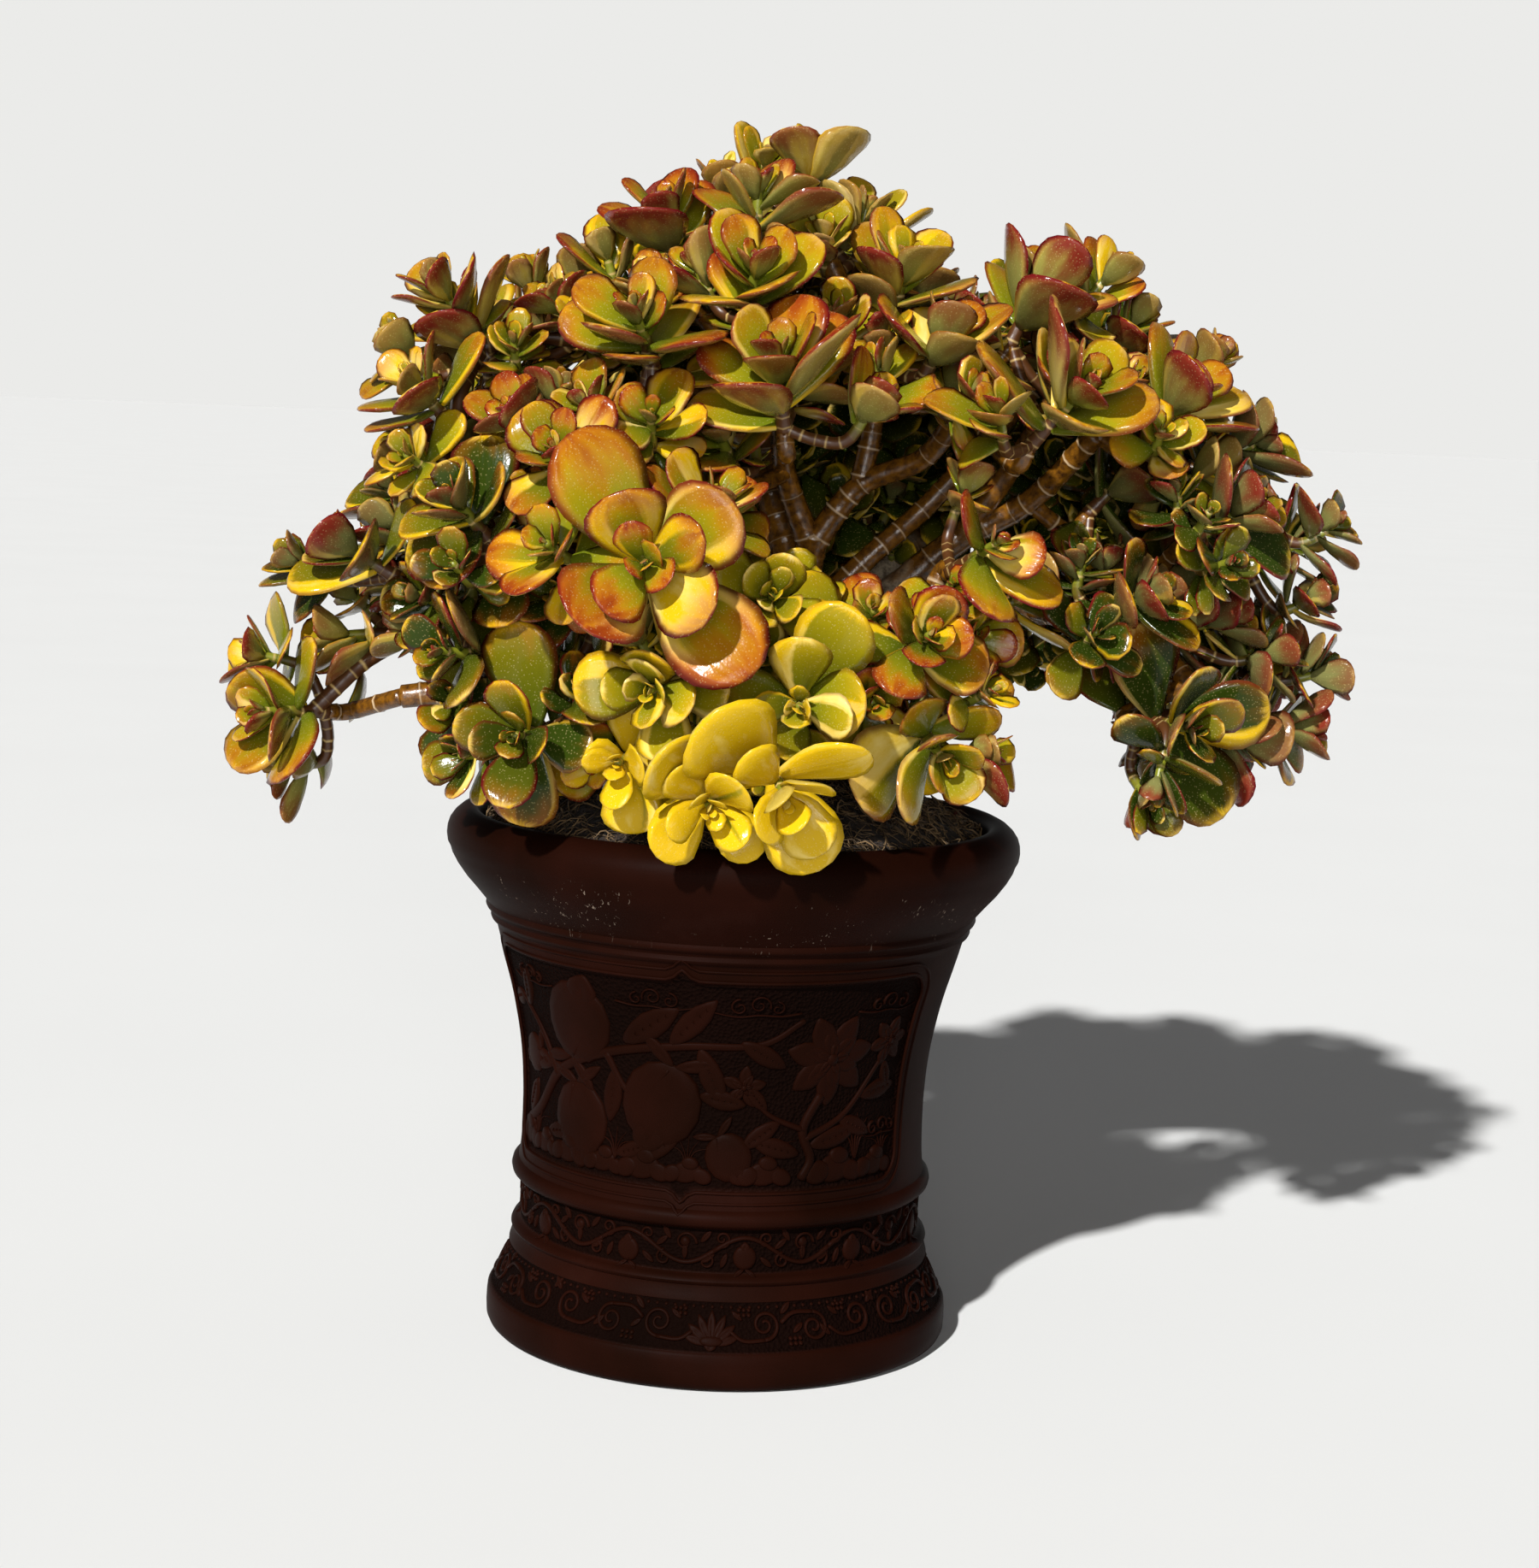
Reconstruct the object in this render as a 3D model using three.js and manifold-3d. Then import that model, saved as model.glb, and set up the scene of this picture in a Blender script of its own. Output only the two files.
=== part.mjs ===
// Jade plant trained as a bonsai, standing in a waisted clay pot with a flared mouth and foot.
// Millimetres, +Z up. The origin is on the pot's axis, in the plane that it stands on, and -Y is the front.
// Nodes: the pot, the soil, the wood (trunk, limbs and twigs, grown as one piece) and the leafy sprays.
import * as THREE from 'three';
import Module from 'manifold-3d';
import { mergeVertices } from 'three/addons/utils/BufferGeometryUtils.js';

const wasm = await Module();
wasm.setup();

// ---------------------------------------------------------------- driving dimensions

const pot = {
  rimRadius: 120.5,
  waistRadius: 85,
  footRadius: 98,
  rimHeight: 221,
  mouthRadius: 106, // inside of the rim, at the soil
  wall: 7,
  floor: 13,
  panelTurn: -10, // degrees from the front to the middle of the front panel
  panelHalf: 68, // degrees from a panel's middle to its upright frame
  panelLow: 79,
  panelHigh: 166,
  panelDepth: 1.6,
  frameRaise: 0.9,
  drainRadius: 7,
  drainCircle: 44, // the three drain holes stand on this radius
};
const soil = { edge: 214, mound: 22, inset: 1.5 };
const clearance = 0.35; // between the pot, the soil and the trunk's foot
const seam = 0.3; // gap between a twig's end and the green stem that grows from it
const stem = { rootRadius: 3.4, tipRadius: 1.5, sides: 3 };
const twig = { radius: 3.7, endRadius: 3.3, sides: 4 };
const fork = { start: 7, bow: 4 }; // where a forked shoot leaves its neighbour's stem, and how far it bows
const limb = { sides: 5, trunkSides: 9 };
const leaf = { width: 0.8, thickness: 0.11, clearance: 0.5, fullReach: 36 };
const heart = [15, 20, 300]; // shoots face away from this point

// ---------------------------------------------------------------- the plant's plan
// A limb is a row of points x, y, z with the wood's radius there. Each starts inside the limb that bears it.

const limbs = {
  trunk: [[12, 4, 196, 33], [12, 4, 224, 29], [14, 3, 246, 20], [18, 0, 276, 15], [24, -5, 318, 8],
    [28, -10, 339, 6]],
  frontUp: [[27, -9, 334, 5.6], [15, -17, 364, 4.6], [12, -44, 392, 4.4]],
  midRight: [[27, -9, 334, 5.8], [46, -13, 360, 4.8], [72, -21, 373, 4.4], [86, -36, 396, 4.4]],
  midUp: [[46, -13, 359, 4.6], [50, -13, 392, 4.4], [42, -10, 425, 4.4], [30, -5, 450, 4.4]],
  rightUp: [[19, 0, 284, 11], [47, 2, 301, 9], [86, 0, 337, 6], [116, -8, 356, 4.8], [140, -32, 385, 4.5]],
  rightHigh: [[22, -1, 298, 6], [50, -2, 329, 4.6], [78, 4, 356, 4.4], [118, 2, 405, 4.4]],
  rightFork: [[88, -1, 338, 5], [106, -8, 366, 4.4], [122, -22, 396, 4.4]],
  right: [[18, 0, 278, 10], [75, -2, 303, 8], [117, -10, 312, 7], [155, -10, 311, 6], [182, 2, 318, 5]],
  rightLow: [[152, -10, 311, 5], [170, -26, 299, 4.5], [183, -36, 286, 4.2]],
  left: [[14, 3, 240, 12], [-30, -18, 262, 9], [-70, -38, 274, 7], [-105, -50, 273, 5.5],
    [-135, -52, 269, 4.8]],
  leftUp: [[19, 0, 283, 10], [-25, -12, 310, 8], [-65, -22, 340, 6.5], [-95, -24, 372, 5.5],
    [-108, -26, 395, 5]],
  leftFront: [[19, 0, 280, 9], [-10, -45, 312, 7], [-28, -85, 326, 5.5], [-33, -105, 332, 4.8]],
  low: [[14, 3, 246, 10], [13, -42, 256, 7], [10, -80, 262, 5.5], [6, -98, 266, 4.5]],
  lowRight: [[13, -40, 256, 6], [42, -72, 264, 5], [58, -84, 268, 4.5]],
  lowLeft: [[-28, -17, 262, 6.5], [-48, -56, 264, 5], [-62, -78, 264, 4.5]],
  top: [[24, -4, 312, 7.5], [8, 10, 360, 6.5], [2, 15, 400, 5.6], [5, 18, 440, 5]],
  back: [[18, 2, 276, 11], [5, 45, 312, 8.5], [-5, 90, 330, 6.5], [-5, 112, 335, 5.5]],
  backRight: [[20, 0, 288, 10], [60, 45, 325, 8], [100, 76, 345, 6.5], [122, 88, 352, 5]],
  backLeft: [[17, 2, 266, 10], [-40, 35, 300, 8], [-85, 62, 330, 6], [-105, 68, 345, 5]],
  backLow: [[14, 4, 246, 10], [15, 55, 262, 8], [15, 100, 268, 6]],
  backLowRight: [[15, 50, 262, 6.5], [70, 80, 270, 5.5], [112, 84, 277, 4.8]],
  backLowLeft: [[13, 4, 244, 9], [-40, 42, 265, 7], [-88, 56, 276, 5.5], [-112, 46, 286, 4.8]],
};

// A spray is one twig's leafy shoots: the first stands on the wood and any other forks from it.
// A shoot is its tip x, y, z and its longest leaf, with the way it faces where that isn't straight outwards.
const sprays = [
  [[-35, -150, 340, 46]],
  [[10, -112, 410, 42], [0, -84, 446, 34]],
  [[-45, -96, 426, 33]],
  [[-120, -42, 425, 32], [-82, -38, 432, 24], [-134, -66, 396, 30]],
  [[-92, -84, 384, 28], [-72, -116, 372, 27]],
  [[-112, -102, 352, 32]],
  [[-160, -60, 330, 32]],
  [[-152, 5, 352, 28]],
  [[-72, 8, 441, 28]],
  [[-38, -30, 470, 33]],
  [[12, 20, 497, 32], [44, 6, 474, 28]],
  [[0, -48, 478, 30]],
  [[60, -30, 452, 34]],
  [[76, -62, 426, 30]],
  [[116, -12, 447, 38]],
  [[160, 16, 434, 34]],
  [[130, -82, 404, 46]],
  [[178, -32, 406, 34]],
  [[214, 8, 386, 34], [236, 18, 344, 28]],
  [[203, -46, 360, 28]],
  [[160, 0, 372, 34]],
  [[97, -104, 343, 44]],
  [[165, -60, 324, 30]],
  [[200, -22, 312, 34]],
  [[182, -62, 270, 42, 0.4, -1, -0.2], [212, -18, 262, 34]],
  [[232, 24, 290, 30]],
  [[72, -122, 308, 32], [52, -108, 280, 28]],
  [[24, -134, 280, 44]],
  [[80, -112, 260, 38]],
  [[-32, -136, 284, 32], [-8, -143, 242, 44, 0.05, -1, -0.3]],
  [[-84, -112, 262, 34, -0.4, -1, 0.1]],
  [[-116, -94, 292, 32], [-130, -72, 312, 26]],
  [[-190, -62, 262, 38, -0.8, -0.7, 0.1], [-166, -42, 292, 32]],
  [[12, -116, 320, 30]],
  [[-12, -74, 382, 30]],
  [[-70, -92, 316, 32]],
  [[-52, -96, 252, 28]],
  [[-150, 40, 300, 32]],
  [[-112, 95, 290, 32]],
  [[-52, 138, 284, 32]],
  [[15, 150, 278, 34]],
  [[80, 140, 284, 32]],
  [[145, 110, 290, 34]],
  [[200, 70, 310, 34]],
  [[-148, 66, 362, 34]],
  [[-118, 112, 352, 34]],
  [[-60, 146, 350, 34]],
  [[5, 162, 345, 36]],
  [[70, 156, 350, 34]],
  [[132, 126, 352, 34]],
  [[188, 76, 366, 34]],
  [[-108, 60, 424, 32]],
  [[-52, 106, 415, 34]],
  [[10, 122, 420, 34]],
  [[76, 112, 416, 34]],
  [[130, 64, 418, 34]],
  [[24, 74, 466, 32], [-28, 58, 470, 30], [68, 44, 448, 32]],
];

// ---------------------------------------------------------------- small helpers

const vec = (p) => new THREE.Vector3(p[0], p[1], p[2]);
const radians = THREE.MathUtils.degToRad;

// A repeatable number from 0 to 1 for a whole number.
function draw(n) {
  const s = Math.sin(n * 12.9898 + 4.1) * 43758.5453;
  return s - Math.floor(s);
}

// A number from -1 to 1.
const spread = (n) => 2 * draw(n) - 1;

// A closed geometry as a manifold-3d solid, and back.
function solid(geometry) {
  const bare = new THREE.BufferGeometry();
  bare.setAttribute('position', geometry.getAttribute('position'));
  bare.setIndex(geometry.index);
  const merged = mergeVertices(bare, 1e-4);
  const made = new wasm.Manifold(new wasm.Mesh({
    numProp: 3,
    vertProperties: new Float32Array(merged.attributes.position.array),
    triVerts: new Uint32Array(merged.index.array),
  }));
  if (made.volume() < 0) throw new Error('a solid is inside out');
  return made;
}

function geometryOf(manifold) {
  const mesh = manifold.getMesh();
  const geometry = new THREE.BufferGeometry();
  geometry.setAttribute('position', new THREE.BufferAttribute(new Float32Array(mesh.vertProperties), 3));
  geometry.setIndex(new THREE.BufferAttribute(new Uint32Array(mesh.triVerts), 1));
  geometry.computeVertexNormals();
  return geometry;
}

const join = (solids) => solids.reduce((a, b) => a.add(b));

// A tapered tube with closed ends through points, with a radius at each.
function tube(points, radii, sides) {
  const positions = [];
  const triangles = [];
  let across = null;
  points.forEach((p, i) => {
    const before = points[Math.max(0, i - 1)];
    const after = points[Math.min(points.length - 1, i + 1)];
    const along = after.clone().sub(before).normalize();
    if (!across) across = new THREE.Vector3(0.31, 0.17, 0.93).cross(along);
    across.addScaledVector(along, -across.dot(along)).normalize();
    const over = along.clone().cross(across);
    for (let k = 0; k < sides; k++) {
      const a = (2 * Math.PI * k) / sides;
      const q = p.clone().addScaledVector(across, radii[i] * Math.cos(a));
      q.addScaledVector(over, radii[i] * Math.sin(a));
      positions.push(q.x, q.y, q.z);
    }
  });
  for (let i = 0; i + 1 < points.length; i++) {
    for (let k = 0; k < sides; k++) {
      const a = i * sides + k;
      const b = i * sides + ((k + 1) % sides);
      triangles.push(a, b, b + sides, a, b + sides, a + sides);
    }
  }
  const last = (points.length - 1) * sides;
  for (let k = 1; k + 1 < sides; k++) {
    triangles.push(0, k + 1, k);
    triangles.push(last, last + k, last + k + 1);
  }
  const geometry = new THREE.BufferGeometry();
  geometry.setAttribute('position', new THREE.Float32BufferAttribute(positions, 3));
  geometry.setIndex(triangles);
  return geometry;
}

// ---------------------------------------------------------------- the pot

// The outside from the foot up to the lip, and the inside from the lip down, as radius and height.
const w = pot.waistRadius;
const outside = [
  [94, 0], [pot.footRadius, 4], [pot.footRadius, 16], [94.4, 26], [w + 2.2, 40], [w + 3.4, 43],
  [w - 0.6, 47], [w - 0.6, 63], [w + 3.8, 68], [w + 0.6, pot.panelLow - 3], [w + 0.3, pot.panelLow],
  [w, 96], [w + 1.5, 123], [w + 5.2, 145], [96, pot.panelHigh], [98, pot.panelHigh + 3],
  [103.2, 178], [104, 181], [118, 203], [pot.rimRadius, 210], [118.5, 216],
  [113, pot.rimHeight], [pot.mouthRadius + 1, 219.5],
];
const inside = [
  [pot.mouthRadius, 214], [97, 196], [w + 0.2, 165], [w - pot.wall, 130], [w - pot.wall, pot.floor],
];

// Pot and soil are turned with the same columns, and some of these fall on the panels' upright edges.
const halfColumns = [13, 26, 39, 52, pot.panelHalf - 3, pot.panelHalf, 79];
const columns = [0, 180].flatMap((middle) => [
  ...halfColumns.map((a) => middle - a).reverse(), middle, ...halfColumns.map((a) => middle + a), middle + 90,
]);

// A profile that starts and ends on the axis, turned round it, with its radius changed by relief(angle, row).
function turned(profile, relief = () => 0) {
  const lathe = new THREE.LatheGeometry(profile.map(([r, z]) => new THREE.Vector2(r, z)), columns.length);
  const position = lathe.getAttribute('position');
  for (let i = 0; i < position.count; i++) {
    const row = i % profile.length;
    const angle = columns[Math.floor(i / profile.length) % columns.length];
    const [r, z] = profile[row];
    const reach = r + relief(angle, row);
    const turn = radians(angle + pot.panelTurn);
    position.setXYZ(i, reach * Math.sin(turn), -reach * Math.cos(turn), z);
  }
  return solid(lathe);
}

// The panels front and back are sunk into the wall behind a raised frame.
function panelRelief(angle, row) {
  const height = row > 0 && row <= outside.length ? outside[row - 1][1] : 0;
  const fromMiddle = Math.abs(((angle + 270) % 180) - 90);
  if (height < pot.panelLow - 3 || height > pot.panelHigh + 3 || fromMiddle > pot.panelHalf) return 0;
  const onFrame = height < pot.panelLow || height > pot.panelHigh || fromMiddle > pot.panelHalf - 3;
  return onFrame ? pot.frameRaise : -pot.panelDepth;
}

function makePot() {
  let body = turned([[0, 0], ...outside, ...inside, [0, pot.floor]], panelRelief);
  for (let k = 0; k < 3; k++) {
    const a = radians(30 + 120 * k);
    const drain = new THREE.CylinderGeometry(pot.drainRadius, pot.drainRadius, 3 * pot.floor, 12);
    drain.rotateX(Math.PI / 2);
    drain.translate(pot.drainCircle * Math.cos(a), pot.drainCircle * Math.sin(a), 0);
    body = body.subtract(solid(drain));
  }
  return body;
}

// ---------------------------------------------------------------- the soil

// Height of the soil's surface at a distance from the pot's axis.
const soilTop = (r) => soil.edge + soil.mound * (1 - (r / pot.mouthRadius) ** 3);

function makeSoil() {
  const floor = pot.floor + clearance;
  const wall = inside.slice(1, -1).reverse().map(([r, z]) => [r - clearance, z]);
  const edge = pot.mouthRadius - soil.inset;
  const top = [0.7, 0.35, 0].map((share) => [share * edge, soilTop(share * edge)]);
  const foot = wall[0][0];
  return turned([[0, floor], [foot, floor], ...wall, [edge, soil.edge - 1], ...top]).subtract(trunkHole());
}

// The hole that the trunk's foot stands in, wider by the clearance and open above.
function trunkHole() {
  const points = limbTubes[0].points.slice(0, 3);
  const down = points[0].clone().sub(points[1]).normalize();
  const spare = clearance / Math.cos(Math.PI / limb.trunkSides);
  const radii = limbTubes[0].radii.slice(0, 2).map((r) => r + spare);
  return solid(tube([points[0].clone().addScaledVector(down, clearance), ...points.slice(1)],
    [...radii, radii[1]], limb.trunkSides));
}

// ---------------------------------------------------------------- the wood and the shoots

const limbTubes = Object.values(limbs).map((rows) => (
  { points: rows.map(vec), radii: rows.map((r) => r[3]) }
));

// Every shoot with its tip, its facing and its stem's foot, and the spray it belongs to.
const shoots = [];
sprays.forEach((rows, spray) => {
  rows.forEach((row, place) => {
    const n = shoots.length + 1;
    const tip = vec(row);
    const facing = row.length > 4 ? vec(row.slice(4)) : tip.clone().sub(vec(heart));
    const sway = new THREE.Vector3(spread(n * 3), spread(n * 3 + 1), spread(n * 3 + 2));
    facing.normalize().addScaledVector(sway, 0.16).normalize();
    const reach = row[3];
    const length = 0.62 * reach + 7;
    const foot = tip.clone().addScaledVector(facing, -length);
    const middle = tip.clone().addScaledVector(facing, -0.3 * reach);
    shoots.push({ n, spray, place, tip, facing, reach, length, foot, middle });
  });
});

// The twig's way from the nearest limb to a shoot's foot, which it meets along the shoot's axis.
function twigRoute(shoot) {
  const aim = shoot.foot.clone().addScaledVector(shoot.facing, -16);
  let start = null;
  let best = Infinity;
  limbTubes.forEach((limb) => limb.points.slice(1).forEach((p) => {
    const cost = p.distanceTo(aim) + 0.35 * Math.max(0, p.z - aim.z);
    if (cost < best) {
      best = cost;
      start = p;
    }
  }));
  const near = shoot.foot.clone().addScaledVector(shoot.facing, -10);
  return [start.clone(), near, shoot.foot.clone()];
}

// The green fork from a spray's first shoot to another's foot, bowed outwards.
function forkRoute(shoot) {
  const first = shoots.find((s) => s.spray === shoot.spray && s.place === 0);
  const start = first.foot.clone().addScaledVector(first.facing, fork.start);
  const middle = start.clone().lerp(shoot.foot, 0.6);
  middle.addScaledVector(first.facing, fork.bow).addScaledVector(shoot.facing, -fork.bow / 2);
  return [start, middle, shoot.foot.clone()];
}

shoots.forEach((shoot) => {
  shoot.route = shoot.place ? forkRoute(shoot) : twigRoute(shoot);
});

// Straight lengths of wood and stem, with the radius that leaves keep clear of.
const rods = [];
function addRods(points, radii, owner) {
  for (let i = 0; i + 1 < points.length; i++) {
    rods.push({ a: points[i], b: points[i + 1], radius: Math.max(radii[i], radii[i + 1]), owner });
  }
}
limbTubes.forEach((limb) => addRods(limb.points, limb.radii, 0));
shoots.forEach((s) => {
  const radius = s.place ? stem.rootRadius : twig.radius;
  addRods(s.route, s.route.map(() => radius), s.place ? s.n : 0);
  addRods([s.foot, s.tip], [stem.rootRadius, stem.rootRadius], s.n);
});

function distanceToRod(p, rod) {
  const line = rod.b.clone().sub(rod.a);
  const t = THREE.MathUtils.clamp(p.clone().sub(rod.a).dot(line) / line.lengthSq(), 0, 1);
  return p.distanceTo(rod.a.clone().addScaledVector(line, t));
}

// A shoot's room: it is parted from each neighbour by a plane nearer to the smaller of the two.
shoots.forEach((s) => {
  s.walls = shoots.filter((o) => o !== s && o.middle.distanceTo(s.middle) < 120).map((o) => {
    const normal = o.middle.clone().sub(s.middle);
    const apart = normal.length();
    const share = 0.5 + (s.reach ** 2 - o.reach ** 2) / (2 * apart ** 2);
    return { normal: normal.normalize(), offset: apart * THREE.MathUtils.clamp(share, 0.36, 0.64) };
  });
  s.nearRods = rods.filter((r) => r.owner !== s.n && distanceToRod(s.middle, r) < 70);
});

// Whether a point is inside the shoot's room and clear of wood, soil and pot.
function isFree(p, shoot, room) {
  const offset = p.clone().sub(shoot.middle);
  if (shoot.walls.some((wall) => offset.dot(wall.normal) > wall.offset - room)) return false;
  const apart = leaf.thickness * 6 + room;
  if (shoot.nearRods.some((rod) => distanceToRod(p, rod) < rod.radius + apart)) return false;
  const r = Math.hypot(p.x, p.y);
  if (r < pot.mouthRadius) return p.z > soilTop(r) + 3;
  if (r < pot.rimRadius + 4) return p.z > pot.rimHeight + 3;
  return true;
}

// The outline of a leaf as shares of its length and of its half width, from the root round the tip.
const bladeOutline = [[0, 0], [0.4, -0.78], [0.8, -0.96], [1, 0], [0.8, 0.96], [0.4, 0.78]];
const bladeCrown = 0.6; // where along the leaf it is thickest

// A leaf's middle line rises by lift over the shoot's cross plane, and bows by bow more up to the tip.
function bladePoint(blade, along, across, up) {
  const { root, out, side, facing, length, lift, bow, cup, roll } = blade;
  const steps = 4;
  const p = root.clone();
  let angle = lift;
  for (let i = 0; i < steps; i++) {
    angle = lift + (bow * along * (i + 0.5)) / steps;
    const step = (along * length) / steps;
    p.addScaledVector(out, step * Math.cos(angle)).addScaledVector(facing, step * Math.sin(angle));
  }
  const face = out.clone().multiplyScalar(-Math.sin(angle)).addScaledVector(facing, Math.cos(angle));
  const width = side.clone().multiplyScalar(Math.cos(roll)).addScaledVector(face, Math.sin(roll));
  const normal = face.clone().multiplyScalar(Math.cos(roll)).addScaledVector(side, -Math.sin(roll));
  const halfWidth = (leaf.width * length) / 2;
  p.addScaledVector(width, across * halfWidth);
  return p.addScaledVector(normal, up + cup * halfWidth * across * across);
}

const pairPlan = [
  { at: 0.3, size: 1.16, lift: 6, fewer: 2 },
  { at: 0.55, size: 1, lift: 26, fewer: 2 },
  { at: 0.82, size: 0.66, lift: 50, fewer: 1 },
];

// The leaf of a pair on one side, bent up or grown shorter until it is free, or null where it has no room.
function growLeaf(shoot, pair, hand) {
  const plan = pairPlan[pair];
  const n = shoot.n * 40 + pair * 4 + hand;
  const turn = shoot.n * 2.4 + pair * Math.PI / 2 + hand * Math.PI + 0.3 * spread(n);
  const flat = new THREE.Vector3(0.2, 0.1, 1).cross(shoot.facing).normalize();
  const over = shoot.facing.clone().cross(flat);
  const out = flat.clone().multiplyScalar(Math.cos(turn)).addScaledVector(over, Math.sin(turn));
  const side = shoot.facing.clone().cross(out);
  const root = shoot.foot.clone().addScaledVector(shoot.facing, plan.at * shoot.length);
  root.addScaledVector(out, 0.8);
  for (let step = 0; step < 9; step++) {
    for (let bends = step; bends >= 0; bends--) {
      const blade = {
        root, out, side, facing: shoot.facing,
        length: shoot.reach * plan.size * (1 + 0.08 * spread(n + 7)) * 0.92 ** (step - bends),
        lift: radians(Math.min(plan.lift + 12 * spread(n + 11) + 9 * bends, 84)),
        bow: radians(14 + 16 * spread(n + 13)),
        cup: 0.16 + 0.08 * spread(n + 17),
        roll: radians(16 * spread(n + 19)),
      };
      const probes = [...bladeOutline.slice(1), [0.6, 0]];
      if (probes.every(([a, b]) => isFree(bladePoint(blade, a, b, 0), shoot, leaf.clearance))) return blade;
    }
  }
  return null;
}

// A thin lens: the outline with one corner above and one below it.
function bladeSolid(blade) {
  const thick = (leaf.thickness * blade.length) / 2;
  const points = [
    ...bladeOutline.map(([along, across]) => bladePoint(blade, along, across, 0)),
    bladePoint(blade, bladeCrown, 0, thick),
    bladePoint(blade, bladeCrown, 0, -thick),
  ];
  const count = bladeOutline.length;
  const triangles = bladeOutline.flatMap((_, i) => {
    const next = (i + 1) % count;
    return [i, next, count, next, i, count + 1];
  });
  const geometry = new THREE.BufferGeometry();
  const places = points.flatMap((p) => [p.x, p.y, p.z]);
  geometry.setAttribute('position', new THREE.Float32BufferAttribute(places, 3));
  geometry.setIndex(triangles);
  return solid(geometry);
}

function makeShoot(shoot) {
  const { foot, tip, facing } = shoot;
  const route = shoot.place ? shoot.route : [foot.clone().addScaledVector(facing, seam)];
  const radii = [...route.map(() => stem.rootRadius), stem.tipRadius];
  const parts = [solid(tube([...route, tip], radii, stem.sides))];
  pairPlan.forEach((plan, pair) => {
    const hands = shoot.reach < leaf.fullReach ? plan.fewer : 2;
    for (let hand = 0; hand < hands; hand++) {
      const blade = growLeaf(shoot, pair, hand);
      if (blade) parts.push(bladeSolid(blade));
    }
  });
  return join(parts);
}

const makeSpray = (spray) => join(shoots.filter((s) => s.spray === spray).map(makeShoot));

function makeWood() {
  const parts = limbTubes.map(({ points, radii }, i) => {
    return solid(tube(points, radii, i ? limb.sides : limb.trunkSides));
  });
  shoots.filter((s) => !s.place).forEach((s) => {
    const radii = s.route.map((_, i) => (i < s.route.length - 1 ? twig.radius : twig.endRadius));
    parts.push(solid(tube(s.route, radii, twig.sides)));
  });
  return join(parts);
}

// ---------------------------------------------------------------- the assembly

const finishes = {
  clay: new THREE.MeshStandardMaterial({ color: 0x2e1810, roughness: 0.7, metalness: 0 }),
  earth: new THREE.MeshStandardMaterial({ color: 0x2b2219, roughness: 1, metalness: 0 }),
  bark: new THREE.MeshStandardMaterial({ color: 0x5a3a1e, roughness: 0.7, metalness: 0 }),
  leaf: new THREE.MeshStandardMaterial({ color: 0x8f9a2b, roughness: 0.35, metalness: 0 }),
};

const bonsai = new THREE.Group();

function place(name, manifold, material) {
  const mesh = new THREE.Mesh(geometryOf(manifold), material);
  mesh.name = name;
  bonsai.add(mesh);
}

place('pot', makePot(), finishes.clay);
place('soil', makeSoil(), finishes.earth);
place('trunk_and_branches', makeWood(), finishes.bark);
sprays.forEach((_, spray) => {
  place('leafy_spray_' + String(spray + 1).padStart(2, '0'), makeSpray(spray), finishes.leaf);
});

export default bonsai;
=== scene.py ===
# Looks of a jade plant trained as a bonsai, in a waisted clay pot with pressed relief.
# Plans are in millimetres and become metres as each mesh is made. The origin is on the pot's axis, and -Y is
# the front.
import math

import bmesh
import bpy
import numpy as np
from mathutils import Matrix, Vector, noise
from mathutils.bvhtree import BVHTree


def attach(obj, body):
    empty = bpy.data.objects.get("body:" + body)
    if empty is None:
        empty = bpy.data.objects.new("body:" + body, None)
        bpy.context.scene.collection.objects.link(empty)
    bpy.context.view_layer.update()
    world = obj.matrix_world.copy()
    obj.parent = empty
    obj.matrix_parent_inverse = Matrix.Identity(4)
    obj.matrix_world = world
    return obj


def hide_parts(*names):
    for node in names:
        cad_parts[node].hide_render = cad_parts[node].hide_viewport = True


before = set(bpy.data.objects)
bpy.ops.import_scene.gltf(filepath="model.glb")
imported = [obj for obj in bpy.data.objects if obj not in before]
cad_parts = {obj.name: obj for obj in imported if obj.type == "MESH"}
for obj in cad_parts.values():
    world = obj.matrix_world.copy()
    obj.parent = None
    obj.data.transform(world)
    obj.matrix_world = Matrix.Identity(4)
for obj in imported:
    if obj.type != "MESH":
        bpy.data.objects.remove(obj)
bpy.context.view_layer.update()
mm = 0.001
print("frame loaded:", len(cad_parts), "nodes")


# Small helpers

def draw(n):
    s = math.sin(n * 12.9898 + 4.1) * 43758.5453  # a repeatable number from 0 to 1
    return s - math.floor(s)


def spread(n):
    return 2 * draw(n) - 1


def clamp(value, low, high):
    return min(max(value, low), high)


def unit(v):
    return v / np.linalg.norm(v)


def hexColour(text):
    values = [int(text[i:i + 2], 16) / 255 for i in (1, 3, 5)]
    linear = [v / 12.92 if v <= 0.04045 else ((v + 0.055) / 1.055) ** 2.4 for v in values]
    return (*linear, 1.0)


def deselectAll():
    bpy.ops.object.select_all(action="DESELECT")


def pick(test):
    # In edit mode, selects the vertices that pass the test and what they bound
    cage = bmesh.from_edit_mesh(bpy.context.edit_object.data)
    for v in cage.verts:
        v.select = test(v.co)
    cage.select_flush(True)
    bmesh.update_edit_mesh(bpy.context.edit_object.data)


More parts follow.
